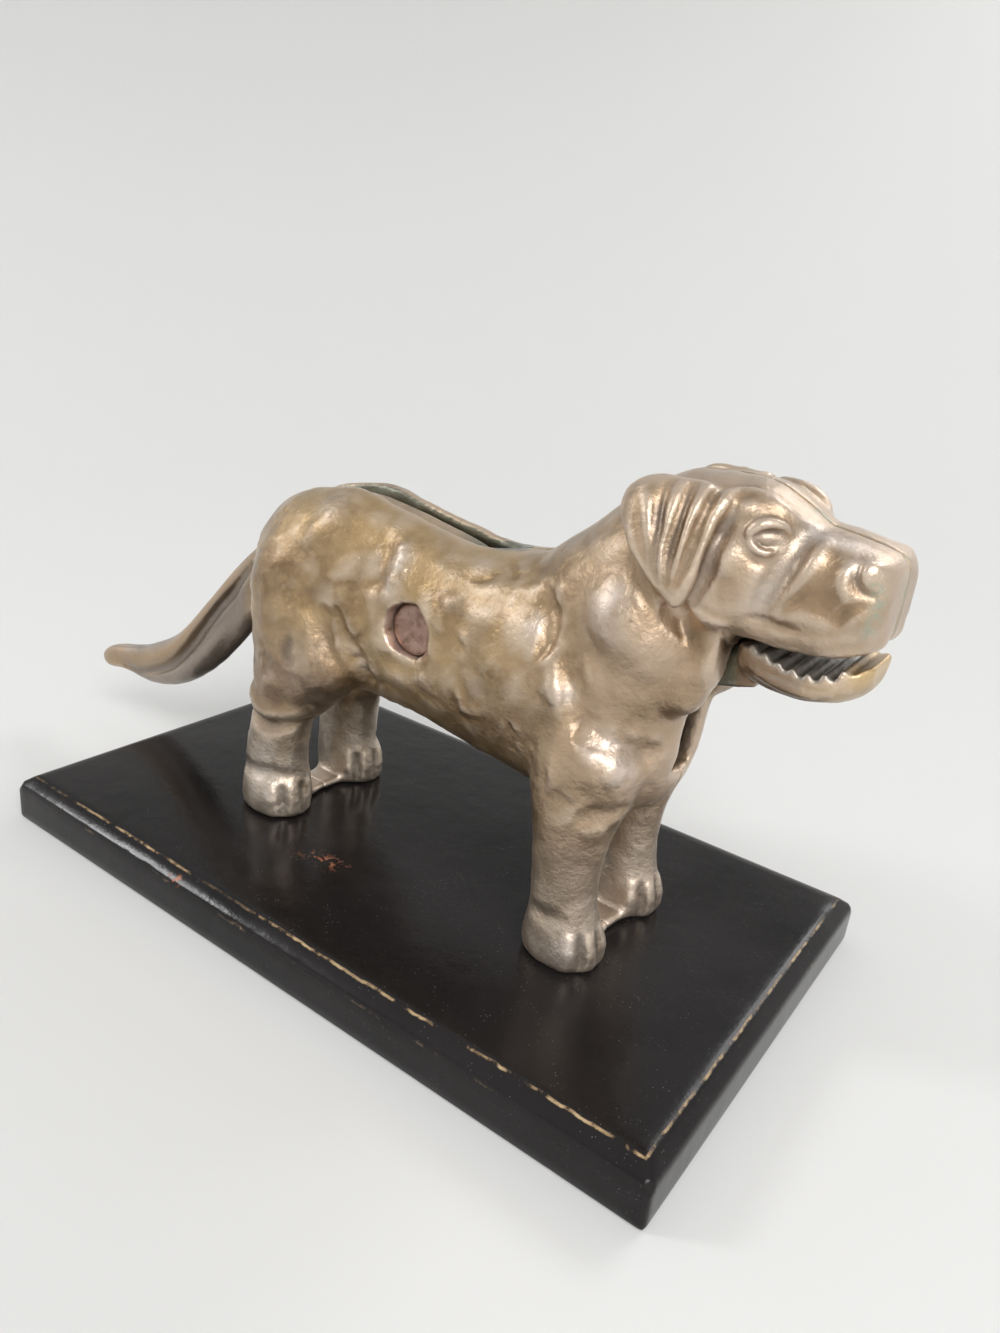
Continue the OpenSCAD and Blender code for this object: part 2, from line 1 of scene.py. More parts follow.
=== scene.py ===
# %% [markdown]
# # A lever nutcracker in the form of a standing dog
# The object is a cast bronze dog on a black lacquered board. Its tail, a bar through the body and its toothed
# lower jaw are one casting on a cross pin: lifting the tail opens the jaw, pressing it down cracks the nut.
# The CAD model has the sizes, joints and main forms. This script gives them the foundry's softness, the
# sculptor's folds, the patina and the worn lacquer, and it never moves or resizes a CAD piece.

import json
import math

import bpy
import numpy as np
import openvdb
from mathutils import Matrix, Vector

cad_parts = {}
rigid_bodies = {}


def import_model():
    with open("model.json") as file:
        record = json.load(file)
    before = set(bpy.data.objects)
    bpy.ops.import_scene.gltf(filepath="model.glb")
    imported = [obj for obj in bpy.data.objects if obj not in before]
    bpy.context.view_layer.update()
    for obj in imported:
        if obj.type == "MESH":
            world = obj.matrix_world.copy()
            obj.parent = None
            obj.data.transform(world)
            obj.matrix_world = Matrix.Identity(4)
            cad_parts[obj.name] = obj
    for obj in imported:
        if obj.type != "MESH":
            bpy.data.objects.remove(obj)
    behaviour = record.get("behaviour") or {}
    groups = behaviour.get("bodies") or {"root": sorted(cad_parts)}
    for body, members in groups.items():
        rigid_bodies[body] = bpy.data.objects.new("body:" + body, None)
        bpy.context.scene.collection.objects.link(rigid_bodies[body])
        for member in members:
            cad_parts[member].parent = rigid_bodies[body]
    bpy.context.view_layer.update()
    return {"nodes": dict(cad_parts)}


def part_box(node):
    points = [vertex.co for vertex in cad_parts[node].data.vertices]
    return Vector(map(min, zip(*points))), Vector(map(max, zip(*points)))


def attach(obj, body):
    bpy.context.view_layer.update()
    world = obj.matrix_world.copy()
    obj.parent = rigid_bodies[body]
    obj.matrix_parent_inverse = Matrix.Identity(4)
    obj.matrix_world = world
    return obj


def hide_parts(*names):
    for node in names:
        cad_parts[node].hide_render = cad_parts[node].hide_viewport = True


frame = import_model()
scene = bpy.context.scene

# %% [markdown]
# The modelling below works in millimetres, measured as a sculptor would: x towards the nose, y from the plane
# where the two halves of the casting meet, z up from the soles. The plane and the soles are read off the CAD
# pieces, so a change there moves everything with it.

# %% The dog's own measures
MM = 0.001
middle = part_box("casting_right")[1].y
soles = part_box("plinth")[1].z
DOG_ORIGIN = np.array([0.0, middle, soles])


def cad_mesh(node):
    """Corners in the dog's millimetres, and triangles, of a CAD piece."""
    mesh = frame["nodes"][node].data
    corners = np.empty(len(mesh.vertices) * 3, np.float32)
    mesh.vertices.foreach_get("co", corners)
    mesh.calc_loop_triangles()
    triangles = np.empty(len(mesh.loop_triangles) * 3, np.int32)
    mesh.loop_triangles.foreach_get("vertices", triangles)
    return (corners.reshape(-1, 3) - DOG_ORIGIN) / MM, triangles.reshape(-1, 3)


print("middle plane at y = %.1f mm, soles at z = %.1f mm" % (middle / MM, soles / MM))

# %% [markdown]
# ## Recipes
# Finishes, and the sky too, are made of nodes. Each helper below adds one node and hands on its output, so that a
# finish reads as a recipe from top to bottom. An output knows which tree it is in, so only a recipe's first
# ingredients have to be told.

# %% Recipe helpers
def finish_of(name):
    """A new material with its node tree and its Principled shader."""
    material = bpy.data.materials.new(name)
    material.use_nodes = True
    return material, material.node_tree, material.node_tree.nodes["Principled BSDF"]


def feed(node, inputs):
    """Gives a node's inputs their numbers, their colours or the outputs of other nodes."""
    for key, value in inputs.items():
        socket = node.inputs[key]
        if isinstance(value, bpy.types.NodeSocket):
            node.id_data.links.new(value, socket)
        else:
            socket.default_value = (*value, 1) if socket.type == "RGBA" else value
    return node


def add(tree, kind, inputs, **settings):
    """A new node with its settings and its inputs, which are named or counted from 0."""
    node = tree.nodes.new("ShaderNode" + kind)
    for key, value in settings.items():
        setattr(node, key, value)
    return feed(node, inputs)


def own_place(tree):
    """Where a point is, in the object's own metres."""
    return add(tree, "TexCoord", {}).outputs["Object"]


def texture(tree, scale, detail=3, rough=0.55):
    """Random clouds. The scale says how many fit into a metre."""
    clouds = {"Vector": own_place(tree), "Scale": scale, "Detail": detail, "Roughness": rough}
    return add(tree, "TexNoise", clouds).outputs["Fac"]


def stored(tree, name):
    """A value that the mesh's points carry."""
    return add(tree, "Attribute", {}, attribute_name=name).outputs["Fac"]


def ramp(source, start, end, low=0.0, high=1.0):
    """Stretches a value between start and end to low and high, and holds it there."""
    limits = {"From Min": start, "From Max": end, "To Min": low, "To Max": high}
    return add(source.id_data, "MapRange", {"Value": source, **limits}).outputs["Result"]


def combine(operation, a, b=0.0):
    """One sum on an output and another output or a number."""
    clamp = operation in ("MULTIPLY", "ADD")
    return add(a.id_data, "Math", {0: a, 1: b}, operation=operation, use_clamp=clamp).outputs[0]


def times(a, b):
    return combine("MULTIPLY", a, b)


def tint(share, below, above):
    """Mixes two colours, each a colour or another mix, by a share from 0 to 1."""
    return add(share.id_data, "Mix", {0: share, 6: below, 7: above}, data_type="RGBA").outputs[2]


def relief(shader, layers):
    """Bump from several patterns, each with its depth in metres."""
    normal = {}
    for source, depth in layers:
        bump = add(shader.id_data, "Bump", {"Height": source, "Distance": depth, "Strength": 1, **normal})
        normal = {"Normal": bump.outputs["Normal"]}
    feed(shader, normal)


print("recipe helpers ready")

# %% [markdown]
# ## Camera, floor and light
# The camera stands where the photographer stood, in front of the dog's right shoulder and looking down a little.
# A wide lens close to the object gives the strong perspective of the plinth.

# %% Camera
camera_data = bpy.data.cameras.new("camera")
camera_data.sensor_width = 36
camera_data.lens = 26.116
camera_data.clip_start = 0.01
camera = bpy.data.objects.new("camera", camera_data)
scene.collection.objects.link(camera)
scene.camera = camera
stand_point = (0.16724, -0.21632, 0.18114)
right = Vector((0.80433, 0.58559, 0.10065))
forward = Vector((-0.51990, 0.77563, -0.35792))
turn = Matrix((right, right.cross(forward), -forward)).transposed()
camera.matrix_world = Matrix.Translation(stand_point) @ turn.to_4x4()
print("lens %.1f mm, height %.0f mm" % (camera_data.lens, camera.location.z / MM))

# %% [markdown]
# The stage is a pale floor that rises gently all round, like a photographer's sweep, so that it looks the same
# from every side. It could be a plane and a backdrop, but a wide shallow bowl has no edge to hide, and all of it
# faces the light.

# %% Stage
def turned(profile, steps):
    """Corners and faces of a profile of (radius, height) turned about the z axis. A radius of 0 makes a point."""
    corners, rings, faces = [], [], []
    for radius, height in profile:
        count = 1 if radius == 0 else steps
        rings.append(range(len(corners), len(corners) + count))
        angles = [2 * math.pi * k / steps for k in range(count)]
        corners += [(radius * math.cos(a), radius * math.sin(a), height) for a in angles]
    for low, high in zip(rings, rings[1:]):
        for k in range(steps):
            m = (k + 1) % steps
            ring = [low[k % len(low)], low[m % len(low)], high[m % len(high)], high[k % len(high)]]
            face = list(dict.fromkeys(ring))
            if len(face) > 2:
                faces.append(face)
    return corners, faces


def mesh_object(name, corners, faces):
    """A smooth-shaded object in the scene."""
    mesh = bpy.data.meshes.new(name)
    mesh.from_pydata([tuple(corner) for corner in corners], [], [tuple(face) for face in faces])
    mesh.validate()
    mesh.shade_smooth()
    piece = bpy.data.objects.new(name, mesh)
    scene.collection.objects.link(piece)
    return piece


flat_radius, floor_radius, rim_height = 0.5, 3.4, 2.6
bowl = [(0, 0), (0.25, 0)]
bowl += [(flat_radius + (floor_radius - flat_radius) * share, rim_height * share ** 2.2)
         for share in np.linspace(0, 1, 28)]
floor = mesh_object("studio_floor", *turned(bowl, 96))
paper, tree, shader = finish_of("pale studio paper")
feed(shader, {"Base Color": (0.74, 0.74, 0.73), "Roughness": 0.9, "Specular IOR Level": 0.2})
floor.data.materials.append(paper)
print("stage:", len(floor.data.polygons), "faces")

# %% [markdown]
# Three soft boxes and a pale sky. The big one in front draws the pale highlights on the brow, the muzzle and the
# breast. The other two stand where the chamfers of the board mirror them towards the camera, and light the back
# and the rump. The sky that the camera and the metal see is pale too, so that the bronze has something to reflect.

# %% Light
def soft_box(name, place, aim, size, watts):
    lamp = bpy.data.lights.new(name, "AREA")
    lamp.shape = "RECTANGLE"
    lamp.size, lamp.size_y = size
    lamp.energy = watts
    light = bpy.data.objects.new(name, lamp)
    scene.collection.objects.link(light)
    light.location = place
    light.rotation_euler = (Vector(aim) - Vector(place)).to_track_quat("-Z", "Y").to_euler()


soft_box("key_box", (1.6, -1.3, 1.8), (0.0, 0.0, 0.06), (1.5, 1.2), 50)
soft_box("side_box", (-1.5, -1.0, 1.15), (-0.08, -0.05, 0.02), (0.3, 0.4), 9)
soft_box("back_box", (0.5, 2.2, 1.8), (0.0, 0.0, 0.08), (1.2, 0.7), 16)

world = bpy.data.worlds.new("pale sky")
scene.world = world
world.use_nodes = True
light_strength, seen_strength = 0.42, 0.70
ray = add(world.node_tree, "LightPath", {}).outputs
seen = combine("MAXIMUM", ray["Is Camera Ray"], ray["Is Glossy Ray"])
seen = ramp(combine("MAXIMUM", seen, ray["Is Transmission Ray"]), 0, 1, light_strength, seen_strength)
feed(world.node_tree.nodes["Background"], {"Color": (1, 1, 1), "Strength": seen})
scene.view_settings.view_transform = "Standard"
print("lamps:", len(bpy.data.lights))

# %% [markdown]
# ## Clay
# A cast animal has no edges: every form flows into the next. Modelling that with faces alone is slow, so the
# CAD solids are turned into clay: a block of small cells that each hold the distance to the surface, below
# zero inside the metal. Forms are then added and pressed in with rounded tools whose joins blend by
# themselves, and at the end a skin is drawn where the distance is zero.

# %% The clay block
def as_rows(points):
    return np.array(points, float).reshape(-1, 3)


def between_corners(cell, part, value):
    """A value at a point inside a cell, mixed from the cell's eight corners."""
    total = 0
    for corner in np.ndindex(2, 2, 2):
        share = np.prod(np.where(corner, part, 1 - part), axis=-1)
        total = total + share * value(*(cell + corner).T)
    return total


class Clay:
    """A block of cells between two corners, in millimetres, that holds each cell's distance to the surface."""
    band = 8    # cells on each side of the surface

    def __init__(self, corners, triangles, low, high, step):
        self.step = step
        self.first = self.cells(low, np.floor)
        self.start = tuple(self.first.tolist())
        size = self.cells(high, np.ceil) - self.first + 1
        self.cell = openvdb.createLinearTransform(step)
        grid = openvdb.FloatGrid.createLevelSetFromPolygons(
            corners.astype(np.float32), triangles=triangles.astype(np.uint32),
            transform=self.cell, halfWidth=self.band)
        self.depth = np.empty(tuple(size), np.float32)
        grid.copyToArray(self.depth, ijk=self.start)

    def cells(self, corner, rounding):
        """A corner in whole cells."""
        return rounding(np.array(corner) / self.step).astype(int)

    def room(self, low=(-999,) * 3, high=(999,) * 3):
        """The part of the block between two corners: its slices, and its x, y and z as broadcastable rows."""
        a = np.clip(self.cells(low, np.floor) - self.first, 0, self.depth.shape)
        b = np.clip(self.cells(high, np.ceil) - self.first + 1, 0, self.depth.shape)
        rows = [((np.arange(a[k], b[k]) + self.first[k]) * self.step).astype(np.float32) for k in range(3)]
        return tuple(slice(a[k], b[k]) for k in range(3)), np.ix_(*rows)

    def sample(self, points, block=None):
        """The distance, or another block's value, at any points."""
        block = self.depth if block is None else block
        place = np.clip(points / self.step - self.first, 0, np.array(block.shape) - 1.001)
        cell = place.astype(int)
        return between_corners(cell, place - cell, lambda i, j, k: block[i, j, k])

    def outward(self, points):
        """Directions straight out of the surface."""
        reach = 1.2 * self.step
        slope = np.stack([self.sample(points + reach * axis) - self.sample(points - reach * axis)
                          for axis in np.eye(3)], axis=1)
        return slope / np.maximum(np.linalg.norm(slope, axis=1, keepdims=True), 1e-6)

    def settle(self, points, rounds=6, pace=0.8):
        """Moves points onto the surface, a part of the way in each round."""
        points = as_rows(points)
        for _ in range(rounds):
            points = points - pace * self.sample(points)[:, None] * self.outward(points)
        return points

    def cast(self, cut, adapt):
        """Corners and faces of the skin. cut keeps one side of the middle plane: -1 right, 1 left, None both."""
        depth = self.depth
        if cut:
            _, (_, y, _) = self.room()
            depth = np.maximum(depth, -cut * y)
        grid = openvdb.FloatGrid(self.band * self.step)
        grid.copyFromArray(np.ascontiguousarray(depth), ijk=self.start)
        grid.transform = self.cell
        grid.gridClass = openvdb.GridClass.LEVEL_SET
        corners, triangles, quads = grid.convertToPolygons(0, adapt)
        return corners.astype(float), triangles.tolist() + quads.tolist()

    def work(self, where, shape, soft, way=1):
        """Adds a shape with a soft join, or with way -1 takes it away."""
        self.depth[where] = way * blend_in(way * self.depth[where], shape, soft)


def blend_in(depth, shape, soft):
    """The distance to the nearer of two shapes, rounded off where they meet."""
    return np.minimum(depth, shape) - np.maximum(soft - np.abs(depth - shape), 0) ** 2 / (4 * soft)


def blurred(block, radius):
    """The block softened by a bell curve of that many cells."""
    reach = int(math.ceil(2.6 * radius))
    weights = np.exp(-0.5 * (np.arange(-reach, reach + 1) / radius) ** 2)
    weights = (weights / weights.sum()).astype(np.float32)
    for axis in range(3):
        soft = np.zeros_like(block)
        source, target = np.moveaxis(block, axis, 0), np.moveaxis(soft, axis, 0)
        for shift, weight in zip(range(-reach, reach + 1), weights):
            ahead, behind = max(0, shift), max(0, -shift)
            target[behind:len(target) - ahead] += weight * source[ahead:len(source) - behind]
        block = soft
    return block


print("clay keeps the distance up to %d cells from the surface" % Clay.band)

# %% [markdown]
# The tools. A ridge is a round bead laid along a path on the surface, and a groove is the same bead pressed in.
# Each is given by its height, negative for a groove, its radius and the points that it runs through, which
# settle onto the surface by themselves. The blend makes the join soft, and the taper thins the ends.

# %% Tools for ridges and grooves
def curve_through(points, steps=4):
    """A smooth path through the points."""
    points = as_rows(points)
    if len(points) < 3:
        return points
    padded = np.vstack([2 * points[0] - points[1], points, 2 * points[-1] - points[-2]])
    path = []
    for a, b, c, d in zip(padded, padded[1:], padded[2:], padded[3:]):
        for f in np.arange(steps) / steps:
            path.append(0.5 * (2 * b + (c - a) * f + (2 * a - 5 * b + 4 * c - d) * f ** 2
                               + (3 * b - a - 3 * c + d) * f ** 3))
    return np.array(path + [points[-1]])


def distance_to(places, path, radii):
    """How far places are from a bead of those radii along a path. The places are rows of x, y and z."""
    nearest = np.inf
    for p, q, r, s in zip(path[:-1], path[1:], radii[:-1], radii[1:]):
        run = q - p
        t = np.clip(sum((g - a) * b for g, a, b in zip(places, p, run)) / max(run @ run, 1e-9), 0, 1)
        away = np.sqrt(sum((g - a - t * b) ** 2 for g, a, b in zip(places, p, run)))
        nearest = np.minimum(nearest, away - (r + (s - r) * t))
    return nearest


def bead(clay, path, radii):
    """The part of the clay near a path, and each cell's distance to a bead along it."""
    margin = max(radii) + 5
    where, places = clay.room(path.min(0) - margin, path.max(0) + margin)
    return where, distance_to(places, path, radii).astype(np.float32)


def stroke(clay, height, radius, points, soft=None, taper=0.45):
    """Adds a ridge, or with a negative height presses in a groove, along points on the surface."""
    path = clay.settle(curve_through(clay.settle(points)))
    if len(path) == 1:
        path = np.vstack([path, path + 0.01])
    lift = height - radius if height > 0 else radius + height
    path = path + lift * clay.outward(path)
    along = np.linspace(-1, 1, len(path))
    radii = radius * (1 - taper * np.abs(along) ** 3) if len(points) > 1 else [radius] * len(path)
    clay.work(*bead(clay, path, radii), soft or 0.5 * radius, 1 if height > 0 else -1)


def both_sides(clay, strokes, wander=0.0, seed=1):
    """Each stroke on the right side, and its mirror image on the left, wandering a little as handwork does."""
    drift = np.random.default_rng(seed)
    for height, radius, points, *rest in strokes:
        points = as_rows(points)
        stroke(clay, height, radius, points, *rest)
        mirrored = points * (1, -1, 1) + drift.normal(0, wander + 1e-6, (1, 3)) * (1, 0, 1)
        stroke(clay, height, radius, mirrored, *rest)


print("ridges and grooves ready")

# %% [markdown]
# ## The dog's two halves
# The foundry cast the dog in two hollow halves and joined them on the middle plane. Both halves are laid
# together as one block of clay, without the flat faces between them, so that a form can run across the seam.
# The whole block is softened by about a millimetre, which melts the joins between trunk, legs and head as wax
# would. It could be done with a remesh and a smooth modifier, but here the same block goes on to be modelled.

# %% Soften the two halves into one dog
cell = 0.55
corners, triangles = cad_mesh("casting_right")
between = (np.abs(corners[triangles][:, :, 1]) < 0.01).all(axis=1)
triangles = triangles[~between]
both = np.vstack([corners, corners * (1, -1, 1)])
faces_both = np.vstack([triangles, triangles[:, ::-1] + len(corners)])
dog = Clay(both, faces_both, (-77, -33, -4), (131, 33, 140), cell)
sharp_dog = dog.depth.copy()
dog.depth = blurred(dog.depth, 1.25 / cell)
print("dog of clay: %d cells" % dog.depth.size)

# %% [markdown]
# The cross rivets were filed flush and rubbed over, so nothing of them shows on the flanks. A plug of clay
# closes each of their holes: a curved patch is fitted to the skin round the hole and filled in behind.

# %% Close the rivet holes
def bore(node):
    """Where a cross pin goes through the dog in the side view, x and z, and its head's radius."""
    low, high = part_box(node)
    return (low.x + high.x) / 2 / MM, ((low.z + high.z) / 2 - soles) / MM, (high.x - low.x) / 2 / MM


def skin_y(x, z):
    """How far the right flank stands from the middle plane at a place in the side view."""
    ys = np.arange(-32, -6, 0.25)
    line = dog.sample(np.stack([np.full_like(ys, x), ys, np.full_like(ys, z)], axis=1))
    return ys[np.argmax(line < 0)]


def close_hole(x, z, radius, deep=4, margin=3):
    """Fills a hole across the flank up to the curved skin round it, on both sides."""
    angles = np.linspace(0, 2 * math.pi, 12, endpoint=False)
    rings = (radius + 1.6, radius + 3.2)
    around = [(reach * math.cos(a), reach * math.sin(a)) for reach in rings for a in angles]
    heights = [skin_y(x + u, z + v) for u, v in around]
    form = np.array([(1, u, v, u * u + v * v) for u, v in around])
    fit = np.linalg.lstsq(form, np.array(heights), rcond=None)[0]
    wide = radius + margin
    for side in (-1, 1):
        ends = sorted((side * abs(fit[0]) - deep, side * abs(fit[0]) + deep))
        where, (gx, gy, gz) = dog.room((x - wide, ends[0], z - wide), (x + wide, ends[1], z + wide))
        u, v = gx - x, gz - z
        skin = fit[0] + fit[1] * u + fit[2] * v + fit[3] * (u * u + v * v)
        over = (skin + side * gy) / math.sqrt(1 + fit[1] ** 2 + fit[2] ** 2)
        dog.work(where, np.maximum(over, np.hypot(u, v) - radius - 0.8).astype(np.float32), 0.4)
    return fit[0]


for node in ("head_rivet", "shoulder_rivet", "haunch_rivet"):
    print(node, "closed at y = %.1f mm" % close_hole(*bore(node)))

# %% [markdown]
# Muscles, ribs and folds. Each line below is one touch of the modelling tool, read from the photograph's lights
# and darks: the ledges on the thigh, the long muscle in front of it, the rib lumps, the line behind the
# shoulder, and the heavy skin of the breast that hangs over the top of the front leg. After a stroke's points
# may come its blend and its taper.

# %% Body
body = [
    (1.2, 4.5, [(-38, -28, 74), (-35, -27, 72), (-30.5, -25, 75)]),
    (1.6, 5, [(-30, -25, 75), (-28.5, -25, 70), (-26.6, -25, 66), (-27, -27, 61)]),
    (-1.3, 3, [(-33, -28, 65), (-34, -29, 60), (-31, -28, 58)]),
    (-1.2, 3, [(-23, -25, 77), (-22, -24, 72), (-21, -24, 66)]),
    (1.6, 4.6, [(-16, -23, 83), (-13.2, -23, 77), (-12.6, -23, 71)]),
    (-2.2, 4, [(-18, -23.5, 75.5), (-15.4, -23, 68.7), (-12.5, -21.4, 63), (-10, -20, 56), (-10, -19, 51)]),
    (1.6, 9, [(-19.5, -25, 55)]),
    (1.2, 13, [(-26, -15, 101)], 5),
    (1.4, 14, [(-47, -24, 84)], 5),
    (1, 6, [(-2.5, -13, 101.6), (-0.4, -18, 95), (0.8, -21, 89), (-1, -22, 85)], 4),
    (-0.8, 5, [(-8, -16, 99.4), (-6.4, -20, 92), (-6.8, -22, 85)], 4),
    (0.9, 3.6, [(18.5, -19.5, 91), (19, -22, 85), (19.5, -23, 81)]),
    (-1.1, 2.4, [(23.8, -23, 82), (26.8, -24, 79)]),
    (1, 3.6, [(21.5, -23.5, 78), (25.3, -24, 74)]),
    (0.9, 3.4, [(34.6, -25, 76), (39, -25, 78.6), (40.5, -25.5, 75.5)]),
    (1.2, 6, [(44.8, -22, 91.8), (49, -23, 90)]),
    (-1.6, 2.8, [(46.5, -18, 99.6), (50, -20.6, 96), (52, -22, 93), (52.5, -23, 88), (51, -24, 84)]),
    (-0.8, 2.2, [(23.5, -16.5, 95.6), (29, -16.5, 96.5)]),
    (-0.7, 2.6, [(13, -14.7, 97.7), (15, -16, 97)]),
    (-0.8, 2.2, [(31.4, -10, 101), (36, -15, 99)]),
    (0.8, 2.8, [(28, -24, 68), (29.5, -24, 63), (34, -24, 63)]),
    (1, 2.8, [(38, -22.5, 57), (39.5, -20, 52)]),
    (-1.1, 2.4, [(45, -25, 63), (46, -22.5, 56)]),
    (1.4, 5, [(56.6, -25, 80), (60, -25.5, 76), (62.7, -25, 72)]),
    (2.2, 15, [(78, -18, 82)], 5),
    (-2.4, 4.2, [(60, -24.5, 86), (61.5, -25, 79), (65, -25.3, 72), (71, -24, 68.5), (77, -20.6, 66),
                 (81, -15, 65)], 2.4, 0.3),
    (1.5, 7, [(68.3, -25, 68), (73, -24.6, 64), (77, -22, 60)], 3),
    (-1.2, 4, [(70.5, -27, 46.5), (74, -25, 48), (78, -18, 50)]),
    (1.2, 9, [(70, -22, 100)], 4),
    (0.8, 6, [(32, -25, 90), (38, -24, 86)], 3),
    (0.8, 7, [(8, -23, 60), (16, -23, 57)], 4),
    (-0.9, 4, [(0, -22, 66), (8, -23, 68), (14, -24, 72)], 3),
    (0.9, 5, [(-44, -27, 66), (-46, -27, 60)], 3),
    (1, 4, [(-50, -25, 94), (-54, -22, 88)], 3)]
both_sides(dog, body, wander=1.3, seed=4)
print("body:", len(body), "touches a side")

# %% [markdown]
# The legs. The thigh ends in an overhanging hem above the thin hock. The CAD paws have four toes each, and
# grooves pressed in between them and a bead along each part them again after the softening.

# %% Legs and paws
legs = [
    (1.6, 3.4, [(-50, -22, 42), (-45, -26, 38), (-37, -25, 39), (-29, -22, 42)], 1.8, 0.3),
    (-1.8, 3.2, [(-53, -20, 36), (-46, -26, 32), (-38, -24, 33), (-32, -18, 36)], 2, 0.3),
    (1, 4, [(-58, -17, 26), (-57, -16, 20)]),
    (0.8, 4.5, [(-44, -26, 25), (-40, -24, 22)], 2),
    (-1, 2.8, [(-36, -20, 15), (-42, -26, 15.5), (-50, -26, 14.5), (-57, -20, 14)], 1.8),
    (-0.7, 2.8, [(56, -22, 14), (62, -26, 15), (70, -25, 15.5)], 1.8),
    (0.8, 4.5, [(55, -20, 30), (56, -20, 22)])]
both_sides(dog, legs, wander=0.8, seed=9)
toe_turn = 38      # degrees from one toe to the next
for paw_x, paw_y, length, width in ((65.2, 17, 12, 9.8), (-48.4, 17.2, 12.6, 10.2)):
    for side in (-1, 1):
        for height, radius, soft, turns, run in (
                (-0.9, 1.6, 1.3, (-1, 0, 1), ((0.8, 10), (0.98, 6.5), (1.04, 2.5))),
                (0.7, 2.3, 1.2, (-1.5, -0.5, 0.5, 1.5), ((0.78, 10.5), (0.98, 6.5)))):
            for n in turns:
                a = math.radians(toe_turn * n)
                ahead, aside = math.cos(a) * length, math.sin(a) * width
                toe = [(paw_x + f * ahead, side * (paw_y + f * aside), h) for f, h in run]
                stroke(dog, height, radius, toe, soft, 0.2)
print("legs modelled, and the toes of", 4, "paws parted again")

# %% [markdown]
# The head. A heavy brow over an almond eye with raised lids, the loose flews of the upper lip, round nostrils
# at the corners of a flat nose, and ears like folded leather: three pleats that meet at the tip.

# %% Face
flews_edge = [(106, -9.8, 125.4), (105.2, -15.5, 120.6), (102.4, -16.7, 114.8), (100.4, -17.4, 109)]
face = [
    (0.8, 5, [(78, -18, 124), (80, -19, 118)], 3),
    (2.4, 8.5, [(92.5, -17.4, 126), (95.6, -16, 127.4)], 3.4),
    (0.9, 2.4, [(89.4, -19.6, 124.6), (88.8, -16.4, 128.6), (92, -12.8, 130.6), (97.4, -12.4, 130),
                (101.8, -11.5, 128.6)], 1.6),
    (-1, 3.4, [(97.6, -18.4, 123.6), (100.4, -16.6, 123.6)], 1.6),
    (1, 2.6, [(98.4, -18, 123.6), (100.2, -16.8, 123.6)], 0.7),
    (0.9, 1, [(95.8, -19.4, 124.4), (96.4, -18.9, 121.8), (99.6, -18, 120.3), (102.4, -16, 121.2),
              (103.6, -13.8, 123.6)], 0.6),
    (1.2, 1.5, [(95.6, -19.1, 124), (97.8, -18.3, 126.2), (100.6, -16.2, 126.5), (103.4, -13.5, 124.8)], 0.7),
    (-0.7, 0.8, [(97, -18.7, 123.6), (98.8, -18.1, 124.5), (100.8, -16.5, 124.7), (102.4, -14.8, 124)], 0.4),
    (-0.6, 0.7, [(97.3, -18.6, 122.6), (99.6, -17.6, 121.7), (101.8, -16, 122.6)], 0.4),
    (-0.5, 1.2, [(95.4, -19.2, 119.4), (99, -18.4, 118), (103, -15.8, 119.6)], 0.9),
    (1.6, 8, [(112, -15, 114), (115, -15, 111)], 3),
    (1.4, 2.8, [(109.4, -12, 124), (108.5, -15.6, 120), (105.8, -16.1, 114.5), (103.7, -16.2, 109.6)], 1.6),
    (-1.5, 3, flews_edge, 2),
    (1.1, 4.5, [(95, -19, 113), (95.6, -18.5, 108)], 2.5),
    (0.9, 4, [(91.5, -19.4, 117.5)], 2.4),
    (-0.9, 1.1, [(118, -14.5, 122.4), (118.2, -15.8, 119.2), (120, -15.4, 116.6), (122.6, -13.9, 115.9)], 0.7),
    (0.7, 1.2, [(116.2, -15.6, 121.4), (115.8, -16.4, 117.6), (117.4, -16.4, 114.6)], 0.8),
    (-0.6, 1.5, [(121.1, -14.6, 114), (118.3, -15.7, 111.9), (116.6, -15.9, 109)], 1),
    (0.9, 2, [(96.7, -17.3, 103), (103.5, -15, 103), (109, -15.8, 102.6), (116, -15.6, 102.6),
              (121, -13.6, 103)], 1),
    (-0.6, 1.2, [(98, -17.6, 105.6), (104, -16.4, 105.4), (110, -16.8, 105)], 0.8),
    (-3.6, 3.8, [(68.4, -22.3, 117.1), (76, -26, 107.2), (81.6, -25.1, 101), (86.2, -18.3, 99.3),
                 (89, -13.7, 95.6)], 1.6),
    (2.6, 8, [(62, -21, 103), (69, -22.5, 98), (76, -22, 93.5), (82, -19, 90.5)], 3.6),
    (0.8, 1.6, [(86.2, -19.5, 105.2), (90.2, -19.5, 103), (93.9, -18.5, 102.4)], 1.2)]
both_sides(dog, face)
print("face:", len(face), "touches a side")

